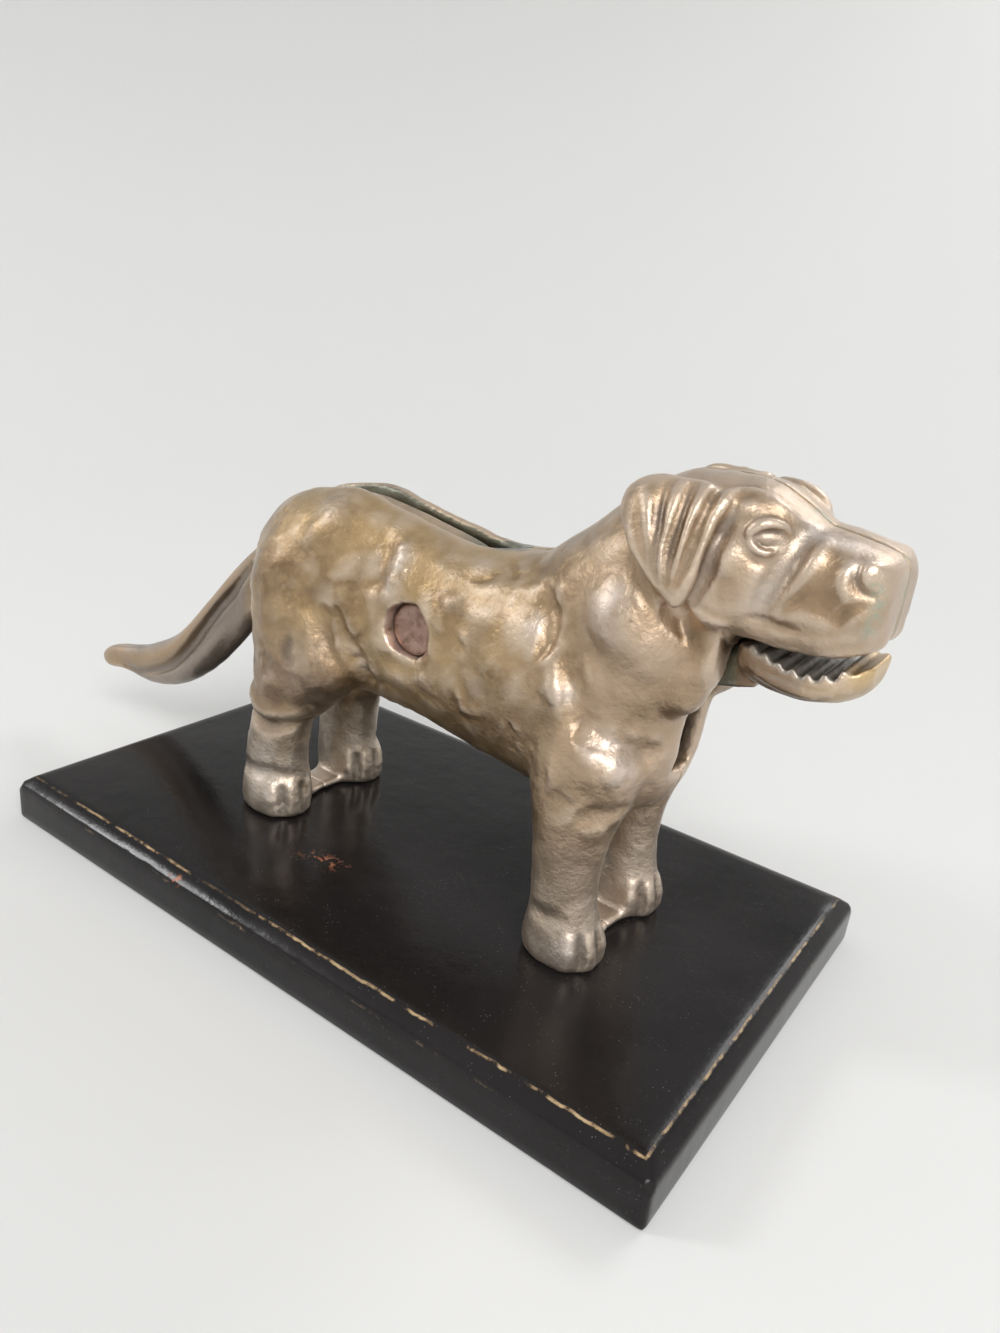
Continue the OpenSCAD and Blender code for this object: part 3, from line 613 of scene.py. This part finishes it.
# %% Ears
ears = [
    (1.2, 2.6, [(71, -21.4, 129.4), (75, -24.4, 122.7), (77.7, -25.7, 117.6), (80, -26.4, 111)], 0.9),
    (1.3, 2.4, [(78.4, -17.4, 131.6), (79.5, -23.4, 125.2), (79.9, -25.6, 118.1), (81.2, -26.5, 110.5)], 0.9),
    (1.3, 2.1, [(84.2, -17.3, 131.4), (84.4, -23.7, 125.5), (83.9, -25.3, 120), (83, -26, 113)], 0.9),
    (1.3, 2.3, [(89.2, -13.4, 131.4), (88.2, -20.3, 128.1), (87.6, -23.1, 121.1), (86.8, -24.4, 112.8),
                (85, -25.6, 105)], 0.9),
    (-0.9, 1.6, [(75.4, -19.8, 131), (76.7, -24, 124), (78.6, -26.2, 116.7), (80.4, -26.8, 110.6)], 0.9),
    (-0.9, 1.6, [(81.4, -17.6, 131.5), (82, -24.4, 123.4), (81.8, -26.1, 117), (82.1, -26.7, 111.2)], 0.9),
    (-0.9, 1.5, [(86.9, -16.7, 131.3), (86.3, -22.6, 125.4), (85.6, -24.6, 119), (84.6, -25.8, 111.3)], 0.9),
    (-1, 1.6, [(91.2, -17.4, 127.6), (90.2, -20.8, 121), (89.2, -21.4, 115), (87.2, -22, 106)], 1.2),
    (0.6, 1.8, [(68, -18, 129), (66.6, -20, 124), (68, -22, 117), (72, -24, 109), (78, -25, 103)], 0.8)]
both_sides(dog, ears, wander=0.3, seed=6)
print("ears:", len(ears), "touches a side")

# %% [markdown]
# The seam. The halves were drawn together by the rivets and never quite closed: a fine open line runs over the
# skull, down the muzzle and the nose, and along the breast. The slot along the back, in which the lever works,
# the open mouth and the round recess for the pin's head are cut again here with crisp edges. Before that, the
# skin of the throat is drawn down behind the jaw on both sides, and after it the inner edge of the upper lips is
# laid along the mouth, so that nothing shows through.

# %% Throat, slot, mouth and lips
def again(low, high, soft=0.35):
    """Inside a box, takes away whatever the CAD casting leaves open."""
    where, _ = dog.room(low, high)
    crisp = blurred(sharp_dog[where], soft / cell + 0.35)
    dog.depth[where] = np.maximum(dog.depth[where], crisp)


def lay(path, radii, soft):
    """Adds a bead on each side of the dog along a path that stays where it is."""
    for side in (-1, 1):
        dog.work(*bead(dog, np.array(path) * (1, side, 1), radii), soft)


lay([(88.6, 10.9, 99.5), (88, 11, 91), (84, 11, 82)], [5.6, 5.6, 5.8], 3.0)
for low, high in (((-64, -5.6, 50), (30, 5.6, 112)), ((70, -5.2, 50), (93.4, 5.2, 99)),
                  ((93.3, -14, 60), (122, 14, 107.6)), ((93.3, -33, 60), (131, 33, 101.4))):
    again(low, high)
lip = curve_through([(93.2, 12, 102.4), (99, 12.6, 102.7), (105, 12.8, 102.4), (111, 12.4, 102.6),
                     (115, 11.8, 102.8), (119, 9.8, 103.8), (122, 6, 105.2)])
lay(lip, [2.8] * len(lip), 2.2)
print("throat, slot, mouth and lips done")

# %% Pin recess and seam
pin_x, pin_z, head_radius = bore("pivot_pin")
collar_low, collar_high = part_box("pivot_collar")
seat = (middle - (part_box("pivot_pin")[0].y + (collar_high.y - collar_low.y))) / MM
where, (x, y, z) = dog.room((pin_x - 12, -33, pin_z - 12), (pin_x + 12, 33, pin_z + 12))
recess = np.maximum(np.hypot(x - pin_x, z - pin_z) - head_radius - 0.08, seat - np.abs(y))
dog.work(where, recess.astype(np.float32), 0.35, -1)
for height, radius, seam, soft in (
        (-0.45, 0.6, [(85, 0, 134), (95, 0, 134), (103, 0, 130), (108, 0, 127), (116, 0, 126.4), (122, 0, 125),
                      (125, 0, 122), (126, 0, 116), (126, 0, 109), (125, 0, 103)], 0.4),
        (-0.6, 1.0, [(124.4, 0, 123.4), (125.8, 0, 121)], 0.5),
        (-0.4, 0.6, [(62, 0, 128), (70, 0, 131.5), (78, 0, 133.6), (86, 0, 134)], 0.5)):
    stroke(dog, height, radius, seam, soft, 0.0)
print("pin at x = %.1f, z = %.1f mm" % (pin_x, pin_z))

# %% [markdown]
# From clay to metal. The skin is drawn for each half, and its points are moved by a soft random swell, because
# a hand-finished casting is nowhere quite even. The flanks get lumps with creases as well, the marks of the
# modelling tool. Textures could only paint such forms, and the outline would stay smooth.

# %% Random forms
FAR = 400      # cells, so that every place counts from a positive number


def random_swell(points, size, seed):
    """Smooth random values between about -1 and 1 that change over that many millimetres."""
    grid = np.random.default_rng(seed).uniform(-1, 1, (64, 32, 32))
    place = points / size + FAR
    at = np.floor(place).astype(int)
    part = place - at
    return between_corners(at, part * part * (3 - 2 * part), lambda i, j, k: grid[i % 64, j % 32, k % 32])


def lumps(points, size, seed):
    """Rounded lumps with creases between them: the gap between the nearest and the next of scattered points."""
    scatter = np.random.default_rng(seed).uniform(0, 1, (32, 32, 32, 3))
    place = points / size + FAR
    first, second = np.full(len(points), 9.0), np.full(len(points), 9.0)
    for i, j, k in np.ndindex(3, 3, 3):
        at = np.floor(place).astype(int) + (i - 1, j - 1, k - 1)
        away = np.linalg.norm(at + scatter[at[:, 0] % 32, at[:, 1] % 32, at[:, 2] % 32] - place, axis=1)
        second = np.minimum(second, np.maximum(first, away))
        first = np.minimum(first, away)
    return np.minimum((second - first) * 1.6, 1)


def fade(value, start, end):
    """0 up to the start, 1 from the end, and even between them."""
    return np.clip((value - start) / (end - start), 0, 1)


def handwork(points):
    """How strongly the surface shows the modelling tool, in millimetres: most on the flanks, thighs and breast."""
    x, y, z = points.T
    body = fade(86 - x - 0.4 * (z - 80), 0, 14)
    legs = np.maximum(fade(z, 34, 48), 0.25)
    return 0.10 + 0.48 * body * legs * fade(np.abs(y), 6, 12)


print("random swell, lumps and handwork ready")

# %% [markdown]
# Each point also carries how hollow or proud its place is, which the patina needs: hollows stay dark, and what a
# hand or a cloth reaches is rubbed bright. Where the photograph shows a patch of another colour, a soft brush
# stroke along a path marks the points for it, on both sides of the dog. Some of these patches are painted light
# and shade: pale painted highlights at the brightest places, painted shade on the belly, the lower thigh and in
# the slot, and a pale wall round the pin's recess, painted as if lit.

# %% Skin and brush
def near(points, path, radius):
    """1 on a path, falling softly to 0 at the radius."""
    path = curve_through(path)
    if len(path) == 1:
        path = np.vstack([path, path + 0.01])
    share = np.clip(1 - distance_to(points.T, path, [0] * len(path)) / radius, 0, 1)
    return share * share * (3 - 2 * share)


def brushed(points, touches):
    """The strongest of several touches at each point. A touch is a path, a radius and a share, and is mirrored."""
    total = np.zeros(len(points))
    for path, radius, share in touches:
        for side in (1, -1):
            total = np.maximum(total, share * near(points, np.array(path) * (1, side, 1), radius))
    return total


def metal_piece(name, clay, node, body, paint, cut, adapt, swell, seed, modelled=None):
    """Draws the skin of the clay, swells it, stores its hollows and its paint, and stands it for the CAD piece."""
    corners, faces = clay.cast(cut, adapt)
    out = clay.outward(corners)
    amount = swell * (random_swell(corners, 7, seed) + 0.5 * random_swell(corners, 3.2, seed + 1)
                      + 0.22 * random_swell(corners, 1.5, seed + 2))
    if modelled:
        bent = corners + 1.6 * np.stack([random_swell(corners, 6, seed + k) for k in (3, 4, 5)], axis=1)
        amount += modelled(corners) * (lumps(bent, 9.5, seed + 6) + 0.3 * lumps(bent, 4.5, seed + 7) - 0.7)
    if cut:
        amount[np.abs(corners[:, 1]) < 0.4] = 0
    amount[corners[:, 2] < 0.6] = 0
    near_by, wide = [clay.sample(corners, blurred(clay.depth, reach / clay.step)) for reach in (1.1, 2.8)]
    corners = corners + amount[:, None] * out
    piece = mesh_object(name, corners * MM + DOG_ORIGIN, faces)
    values = {"hollows": -near_by / 0.28 - 0.9 * amount, "folds": -wide / 0.9, **paint(corners, out)}
    for key, value in values.items():
        attribute = piece.data.attributes.new(key, "FLOAT", "POINT")
        attribute.data.foreach_set("value", np.asarray(value, np.float32))
    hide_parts(node)
    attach(piece, body)
    print(name, len(piece.data.polygons), "faces")
    return piece


print("skin and brush ready")

# %% Cast the two halves
def dog_paint(points, out):
    """How much each patina, painted highlight and painted shade shows at each point of the dog."""
    x, y, z = points.T
    grey = fade(z, 44, 18) * np.where(x < 0, 1.0, 0.75)
    grey = np.maximum(grey, 0.5 * near(points, [(-30, -22, 62), (-28, -22, 48)], 14))
    grey = np.maximum(grey, brushed(points, [
        (flews_edge, 6, 1.0), ([(97, -18, 123.6), (102, -16, 122)], 8, 0.6),
        ([(91, -17, 127), (90, -21, 118), (87, -22, 106)], 3.4, 0.9), ([(76, -24, 124), (80, -26, 114)], 5, 0.4),
        ([(66, -23, 99), (80, -20, 92)], 8, 0.4)]))
    green = near(points, [(104, 0, 128), (116, 0, 126.6), (123, 0, 124.6), (126, 0, 118), (126, 0, 106)], 3.2)
    for path, radius, share in (([(122, -13, 118), (123.5, -13, 114), (122.5, -12.5, 108)], 3.4, 0.8),
                                ([(-20, -4.5, 107), (0, -4.5, 104), (16, -4, 102)], 3.0, 0.6)):
        green = np.maximum(green, share * near(points, path, radius))
    # Pale touches at the brightest places of the muzzle, nostrils, neck, breast, shoulder, back, rump and paws:
    # painted highlights, and rubbed wear.
    rubbed = brushed(points, [
        ([(108, -9, 126), (117, -10, 125.6)], 6, 0.8), ([(118, -14, 121)], 5, 0.7),
        ([(72, -24, 67), (77, -22, 62)], 8, 0.8), ([(69, -23, 102), (70, -22, 97)], 8, 0.8),
        ([(-28, -14, 104)], 10, 0.5), ([(0, -18, 96), (0, -21, 88)], 6, 0.7), ([(48, -23, 91)], 5, 0.8),
        ([(60, -25, 77)], 5, 0.6), ([(70, -25, 8)], 9, 0.6), ([(-45, -27, 20), (-44, -28, 8)], 9, 0.6)])
    # Brown patches; on the belly and the lower thigh they are painted shade as well.
    brown = brushed(points, [
        ([(105, -15, 112), (112, -15, 113), (119, -14, 110)], 10, 0.9),
        ([(68, -21, 126), (72, -24, 113), (80, -26, 104)], 5, 0.7), ([(88, -17, 130), (96, -14, 130.6)], 6, 0.5),
        ([(70, -23, 113), (77, -25, 105), (82, -24, 100), (87, -18, 98), (89, -13, 93)], 5.5, 1.0),
        ([(52, -25, 70), (40, -25, 62), (16, -24, 58)], 14, 0.6), ([(66, -25, 64), (72, -22, 56)], 9, 0.5),
        ([(-40, -27, 56), (-26, -25, 52), (-46, -25, 42)], 22, 1.0)])
    # The walls of the back slot: greenish patina, darkened as painted shade.
    slot = (np.abs(y) < 5.4) & (x > -66) & (x < 30) & (z > 50) & (z < 112)
    # The wall of the pin's recess, painted pale pink as if lit.
    recess_copper_and_highlight = (np.hypot(x - pin_x, z - pin_z) < head_radius + 0.5) & (np.abs(y) > 10)
    return {"grey": grey, "pale": fade(x, 34, 68) * (1 - brown), "brown": brown, "green": green, "rubbed": rubbed,
            "slot": slot, "copper": recess_copper_and_highlight}


halves = [metal_piece("dog_right_half", dog, "casting_right", "stand", dog_paint, -1, 0.012, 0.16, 6, handwork),
          metal_piece("dog_left_half", dog, "casting_left", "stand", dog_paint, 1, 0.012, 0.16, 8, handwork)]

# %% [markdown]
# ## The lever: tail, bar and jaw
# One casting as well. The tail's rounded rim overhangs its hollowed side and ends like the bowl of a spoon; the
# jaw is a boat with saw teeth across it. The tail and the boat are softened as the dog was, while the teeth
# keep nearly the edge they were filed to.

# %% Clay for the lever
lever_cell = 0.5
lever = Clay(*cad_mesh("tail_lever"), (-174, -18, 0), (130, 18, 110), lever_cell)
softened = blurred(lever.depth, 1.3 / lever_cell)
crisp = blurred(lever.depth, 0.3 / lever_cell + 0.2)
_, (x, _, _) = lever.room()
along_jaw = fade(x, 88, 94)
lever.depth = (softened * (1 - along_jaw) + crisp * along_jaw).astype(np.float32)
jaw_strokes = [
    (0.7, 1.6, [(100, -14.6, 93), (108, -15, 91), (116, -13.8, 92)], 1.2),
    (0.6, 3.0, [(104, -12, 87.6), (112, -12, 88)], 2)]
both_sides(lever, jaw_strokes)
tail_rim = [(-80.5, -4.4, 76.5), (-89.5, -4.4, 65.5), (-100.3, -4.4, 53.3), (-114.6, -4.4, 36), (-125, -4.4, 27),
            (-140.5, -4.4, 19.3), (-154, -4.2, 17.5)]
tail_strokes = [
    (0.9, 2.8, tail_rim, 1.4),
    (-1.6, 2.1, [(-77, -4.3, 73), (-86.4, -4.4, 61.6), (-97.2, -4.6, 49.6), (-111.4, -4.6, 32.6), (-123, -4.4, 22.4),
                 (-139.9, -4.4, 14.8), (-151, -4.2, 13.2)], 1.0, 0.4),
    (1.0, 3.4, [(-90, -4, 48), (-97, -4, 40), (-110, -4.2, 26), (-122, -4.2, 17)], 1.5),
    (-0.9, 2.6, [(-150, 0, 20.5), (-160, 0, 18.5)], 1.5)]
both_sides(lever, tail_strokes, wander=0.3, seed=12)
bar_top = curve_through([(-60, 0, 90.6), (-52, 0, 96.6), (-44.5, 0, 99.8), (-28, 0, 102.6), (-11, 0, 100.9),
                         (0, 0, 98.9), (8, 0, 97.6), (15, 0, 96), (22, 0, 93.4), (27, 0, 90.4)])
bar_radii = 4 * (1 - 0.3 * np.abs(np.linspace(-1, 1, len(bar_top))) ** 3)
lever.work(*bead(lever, bar_top, bar_radii), 1.0)
print("lever of clay: %d cells" % lever.depth.size)

# %% Cast the lever
def lever_paint(points, out):
    """The same for the lever: its rim, the hollow beside it and the bar in the slot, both with painted shade, the
    jaw and its teeth.
    """
    x, y, z = points.T
    tops = fade(out[:, 2], 0.15, 0.45) * fade(x, 121.5, 119.5)
    walls = (np.abs(out[:, 0]) > 0.8) * (np.abs(y) < 13) * (x < 121)
    teeth = fade(x, 96.5, 98) * np.maximum(tops, walls)
    gold = near(points, [(122.5, -8, 97.5), (124.5, 0, 99), (122.5, 8, 97.5)], 6)
    # The bar in the slot and the jaw's arm: greenish patina, with painted shade deepest on faces turned down and
    # towards the jaw.
    inner = fade(x, -72, -66) * fade(x, 97, 94)
    inner = inner * np.clip(np.maximum((0.75 - out[:, 2]) / 0.4, (x - 4) / 10), 0.1, 1)
    rim = np.maximum(near(points * (1, 0, 1), np.array(tail_rim) * (1, 0, 1), 5.5), fade(x, -146, -154))
    rubbed = near(points, [(-96, 0, 55), (-120, 0, 34), (-150, 0, 22), (-166, 0, 14)], 6)
    # The tail's side under the rim: greyer, and darkened as painted shade.
    band = fade(x, -76, -81) * (1 - rim)
    jaw_side = fade(x, 119, 109) * (x > 94) * (1 - teeth)
    return {"rubbed": 0.7 * rubbed, "slot": inner, "tail_rim": 0.7 * rim, "tail_band": 0.75 * band,
            "jaw_side": 0.8 * jaw_side, "teeth": teeth, "gold": gold}


lever_piece = metal_piece("tail_and_jaw_lever", lever, "tail_lever", "lever", lever_paint, None, 0.01, 0.10, 21)

# %% [markdown]
# ## The plinth
# A board of dark lacquered wood with chamfered top edges. Handling has worn the arrises of the near and the front
# edge, and knocks have chipped the corners. The board is clay too: rounded a little, then nicked along its edges
# by small tools, so that the wear is in its shape as well as in its colour.

# %% Worn board
board_low, board_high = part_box("plinth")
half_length = (board_high.x - board_low.x) / 2 / MM
half_width = (board_high.y - board_low.y) / 2 / MM
middle_y = -middle / MM
chamfer_wide, chamfer_deep = 4.2, 3.2
board_cell = 0.6
board = Clay(*cad_mesh("plinth"), (-half_length - 4, middle_y - half_width - 4, -soles / MM - 4),
             (half_length + 4, middle_y + half_width + 4, 4), board_cell)
board.depth = blurred(board.depth, 0.5 / board_cell + 0.2)
knocks, knock_count = np.random.default_rng(31), 90
edge_x, edge_y = half_length - chamfer_wide, half_width - chamfer_wide
for k in range(knock_count):
    along = knocks.uniform(-1, 1)
    edge = knocks.integers(4)
    level = knocks.choice([0.0, -chamfer_deep], p=[0.55, 0.45])
    out_by = 0 if level == 0 else chamfer_wide
    if edge < 2:
        place = (along * half_length, middle_y + (2 * edge - 1) * (edge_y + out_by), level)
    else:
        place = ((2 * edge - 5) * (edge_x + out_by), middle_y + along * half_width, level)
    size = knocks.uniform(0.8, 2.2)
    run = knocks.uniform(0.5, 3.0) * (np.array([1, 0, 0]) if edge < 2 else np.array([0, 1, 0]))
    stroke(board, -knocks.uniform(0.12, 0.45), size, [np.array(place) - run, np.array(place) + run], 0.5)
for x_side, y_side, size in ((-1, -1, 2.4), (1, -1, 2.0), (1, 1, 1.6), (-1, 1, 2.0)):
    stroke(board, -0.7, size, [(x_side * half_length, y_side * half_width + middle_y, -3)], 0.8)
print("board of clay: %d cells" % board.depth.size)


def board_paint(points, out):
    """How much each place is handled, which also sets where the painted highlight on the arris shows: most along the
    near edge and the front edge, least at the back.
    """
    x, y, z = points.T
    near_edge = np.clip((middle_y - half_width + 9 - y) / 4, 0, 1)
    front_edge = np.clip((x - half_length + 9) / 4, 0, 1)
    scratch = near(points, [(-25, -29.4, 0), (-18, -30, 0), (-11, -30.6, 0), (-5, -30, 0)], 1.6)
    return {"handled": np.maximum(0.3, np.maximum(near_edge, 0.85 * front_edge)),
            "scratched": np.maximum(scratch, near(points, [(-38.5, -65.2, -2.2), (-36, -65.6, -2.6)], 1.8))}


plinth_piece = metal_piece("worn_plinth_board", board, "plinth", "stand", board_paint, None, 0.03, 0.05, 41)

# %% [markdown]
# ## Pin, collar, rivets, screws and washers
# Small turned pieces. The pin's copper-coloured head lies deep in the flank and was hammered slightly hollow.
# Pin and collar are turned profiles with their real rounding, laid across the dog. Rivets, screws and washers
# keep their CAD form.

# %% Turned fittings
def fitting(name, node, profile, steps=72):
    """A profile turned about the pin's axis, with the profile's heights running towards the dog's right."""
    corners, faces = turned(profile, steps)
    across, up, along = np.array(corners, float).T
    piece = mesh_object(name, np.stack([across + pin_x, -along, up + pin_z], axis=1) * MM + DOG_ORIGIN, faces)
    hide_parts(node)
    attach(piece, "stand")
    return piece


r, shank = head_radius, 4.0
top = -(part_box("pivot_pin")[0].y - middle) / MM
end, under = -top, top - (collar_high.y - collar_low.y) / MM
pin = fitting("hammered_pivot_pin", "pivot_pin", [
    (0, end + 0.15), (2.2, end + 0.1), (shank - 0.6, end + 0.12), (shank - 0.1, end + 0.6), (shank, end + 1.2),
    (shank, under), (r - 0.25, under), (r, under + 0.3), (r, top - 0.8), (r - 0.3, top - 0.25), (r - 1.0, top),
    (r - 2.4, top - 0.2), (3.0, top - 0.55), (0, top - 0.65)])
outer, inner, bore_radius = -(collar_high.y - middle) / MM, -(collar_low.y - middle) / MM, shank + 0.05
collar = fitting("peened_collar", "pivot_collar", [
    (bore_radius, outer + 0.2), (bore_radius + 0.3, outer), (r - 0.7, outer), (r - 0.2, outer + 0.2),
    (r, outer + 0.7), (r, inner - 0.3), (r - 0.3, inner), (bore_radius + 0.2, inner), (bore_radius, inner - 0.2),
    (bore_radius, outer + 0.2)])
print("pin head %.1f mm across" % (2 * head_radius))

# %% [markdown]
# ## Finishes
# The bronze. Its colour is a brown skin of oxide over yellow metal. Cloudy patches carry the hue from umber to
# gold, the hollows are darker, rubbed ridges are paler, and the legs are greyer where the wax has gone. Painted
# light is mixed in too: the pale touches at the brightest places are painted highlights as well as wear, the brown
# on the belly and the lower thigh, the dark green-grey in the slot and the darker side of the tail are painted
# shade, and the wall of the pin's recess is painted pale as if lit. In the seam and beside the nostrils verdigris
# has grown, which is dull and no metal at all. A thin coat over it all is the wax that the bronze is rubbed with:
# it gives the white, soft highlights that bare metal would tint.

# %% Bronze patina
def bronze_finish(name, extra=()):
    """The patina. extra is a list of further attributes and the colour that each brings in."""
    material, tree, shader = finish_of(name)
    cloud, mottle = texture(tree, 46, 4, 0.6), texture(tree, 170, 4, 0.65)
    grain, pits = texture(tree, 900, 3, 0.6), texture(tree, 430, 4, 0.6)
    hollows, folds = stored(tree, "hollows"), stored(tree, "folds")
    green = times(stored(tree, "green"), ramp(texture(tree, 420, 4, 0.7), 0.40, 0.58))
    colour = tint(ramp(cloud, 0.36, 0.64), (0.195, 0.118, 0.050), (0.42, 0.285, 0.135))
    for share, over in (
            (ramp(mottle, 0.42, 0.72, 0, 0.6), (0.45, 0.325, 0.18)),
            # Brown patina, and on the belly and the lower thigh painted shade.
            (times(stored(tree, "brown"), ramp(mottle, 0.3, 0.7, 0.9, 0.5)), (0.17, 0.098, 0.052)),
            (times(stored(tree, "pale"), ramp(cloud, 0.38, 0.62, 0.25, 0.85)), (0.47, 0.345, 0.25)),
            (times(stored(tree, "grey"), ramp(mottle, 0.3, 0.7, 0.45, 0.9)), (0.47, 0.41, 0.355)),
            (ramp(hollows, -0.15, -0.75, 0, 0.55), (0.66, 0.54, 0.43)),     # proud places
            # Pale: rubbed wear, and on the dog painted highlights at the brightest places.
            (times(stored(tree, "rubbed"), ramp(mottle, 0.35, 0.62, 0.25, 1.0)), (0.74, 0.66, 0.60)),
            (ramp(folds, 0.05, 0.9, 0, 0.4), (0.13, 0.085, 0.055)),
            (ramp(hollows, 0.3, 1.3, 0, 0.7), (0.07, 0.048, 0.034)),
            # Dark green-grey: patina in the slot, and painted shade there and under the bar.
            (times(stored(tree, "slot"), 0.85), (0.12, 0.135, 0.10)),
            # Pale pink: the wall of the pin's recess, painted as if lit.
            (times(stored(tree, "copper"), 0.9), (0.62, 0.48, 0.41)),
            *((stored(tree, attribute), over) for attribute, over in extra),
            (green, (0.25, 0.29, 0.225))):
        colour = tint(share, colour, over)
    gloss = combine("ADD", ramp(mottle, 0.3, 0.7, 0.36, 0.50), ramp(green, 0, 1, 0, 0.4))
    feed(shader, {"Base Color": colour, "Metallic": ramp(green, 0, 1, 0.85, 0.1), "Roughness": gloss,
                  "Coat Weight": 0.75, "Coat Roughness": 0.33})
    relief(shader, ((grain, 0.00014), (pits, 0.00026), (mottle, 0.00030)))
    return material


def dress(piece, material):
    """Gives a piece its finish."""
    piece.data.materials.append(material)


bronze = bronze_finish("brown gold bronze")
jaw_bronze = bronze_finish("lever bronze", (
    # The colour for the tail's side is darkened as painted shade.
    ("tail_rim", (0.32, 0.20, 0.10)), ("tail_band", (0.20, 0.165, 0.145)), ("jaw_side", (0.19, 0.115, 0.062)),
    ("teeth", (0.25, 0.225, 0.195)), ("gold", (0.60, 0.42, 0.20))))
for half in halves:
    dress(half, bronze)
dress(lever_piece, jaw_bronze)
print("bronze on", len(halves) + 1, "castings")

# %% [markdown]
# The lacquer is nearly black and half glossy, with dust lying on the flat top. Along the arrises of the chamfer a
# thin pale line runs, partly lacquer worn through to the yellow ground under it and partly a painted highlight
# where the chamfer catches the light, and knocks have chipped the lacquer to orange-red wood. A line that thin
# needs more than painted mesh points, so the finish measures the distance to each arris.

# %% Worn lacquer
def arris_line(tree, half_x, half_y, height, wide, wander):
    """A thin line, 1 in its middle, along the four sides of a rectangle at a height, in metres."""
    place = add(tree, "SeparateXYZ", {0: own_place(tree)}).outputs
    to_x = combine("SUBTRACT", combine("ABSOLUTE", place["X"]), half_x)
    to_y = combine("SUBTRACT", combine("ABSOLUTE", place["Y"]), half_y)
    away = combine("ABSOLUTE", combine("SUBTRACT", combine("MAXIMUM", to_x, to_y), wander))
    rise = combine("ABSOLUTE", combine("SUBTRACT", place["Z"], height))
    return times(ramp(away, wide, 0.45 * wide), ramp(rise, 2.5 * wide, 1.5 * wide))


lacquer, tree, shader = finish_of("worn black lacquer")
haze = texture(tree, 18, 4, 0.6)
breaks, long_breaks = texture(tree, 120, 5, 0.7), texture(tree, 26, 2, 0.5)
specks = add(tree, "TexVoronoi", {"Vector": own_place(tree), "Scale": 900}).outputs["Distance"]
dust = times(ramp(specks, 0.13, 0.05, 0, 0.8), ramp(texture(tree, 150), 0.48, 0.66))
colour = tint(ramp(haze, 0.35, 0.7), (0.008, 0.007, 0.007), (0.015, 0.013, 0.013))
colour = tint(dust, colour, (0.30, 0.30, 0.31))
wander = ramp(texture(tree, 240, 3, 0.6), 0.3, 0.7, -0.00022, 0.00022)
top_arris = arris_line(tree, edge_x * MM, edge_y * MM, soles, 0.00042, wander)
low_arris = arris_line(tree, half_length * MM, half_width * MM, soles - chamfer_deep * MM, 0.0004, wander)
# The thin pale line along the arrises: partly lacquer worn to the yellow ground, partly a painted highlight on the
# chamfer.
line = combine("MAXIMUM", times(top_arris, ramp(breaks, 0.45, 0.56)),
               times(low_arris, ramp(breaks, 0.56, 0.64, 0, 0.5)))
line = times(line, times(stored(tree, "handled"), ramp(long_breaks, 0.36, 0.50, 0.25, 1)))
# The line's colour: yellow ground and painted highlight.
yellow_ground_and_highlight = tint(ramp(breaks, 0.40, 0.62), (0.22, 0.12, 0.06), (0.48, 0.35, 0.20))
wood = tint(ramp(texture(tree, 300), 0.35, 0.65), (0.34, 0.105, 0.05), (0.58, 0.24, 0.13))
chips = times(times(ramp(stored(tree, "hollows"), -0.9, -1.6), ramp(breaks, 0.60, 0.66)), stored(tree, "handled"))
chips = combine("MAXIMUM", chips, times(stored(tree, "scratched"), ramp(texture(tree, 420), 0.52, 0.58)))
gloss = combine("ADD", ramp(haze, 0.3, 0.7, 0.13, 0.25), times(combine("MAXIMUM", line, chips), 0.2))
feed(shader, {"Base Color": tint(chips, tint(line, colour, yellow_ground_and_highlight), wood), "Roughness": gloss,
              "Specular IOR Level": 0.22})
relief(shader, ((texture(tree, 1200, 2), 0.00003), (texture(tree, 60), 0.00025)))
dress(plinth_piece, lacquer)
print("lacquer on the plinth")

# %% [markdown]
# Copper-coloured pin and collar, turned bronze rivets, and plain steel for the screws and washers under the
# board. Each is patchy, as metal that is handled and never polished gets.

# %% Metals of the fittings
def small_metal(name, dark, light, rough, scale=500):
    material, tree, shader = finish_of(name)
    patch = texture(tree, scale, 4, 0.6)
    feed(shader, {"Base Color": tint(ramp(patch, 0.35, 0.65), dark, light), "Metallic": 1,
                  "Roughness": ramp(patch, 0.3, 0.7, rough, rough + 0.15)})
    relief(shader, ((texture(tree, 700), 0.00008),))
    return material


copper = small_metal("copper pin", (0.20, 0.122, 0.09), (0.38, 0.26, 0.21), 0.34, 350)
rivet_bronze = small_metal("rivet bronze", (0.28, 0.18, 0.08), (0.45, 0.31, 0.16), 0.35)
steel = small_metal("screw steel", (0.22, 0.20, 0.18), (0.42, 0.41, 0.40), 0.32)
for piece in (pin, collar):
    dress(piece, copper)
for node, piece in frame["nodes"].items():
    if node.endswith(("rivet", "screw", "washer")):
        piece.data.materials.clear()
        piece.data.materials.append(rivet_bronze if node.endswith("rivet") else steel)
print("fittings finished")
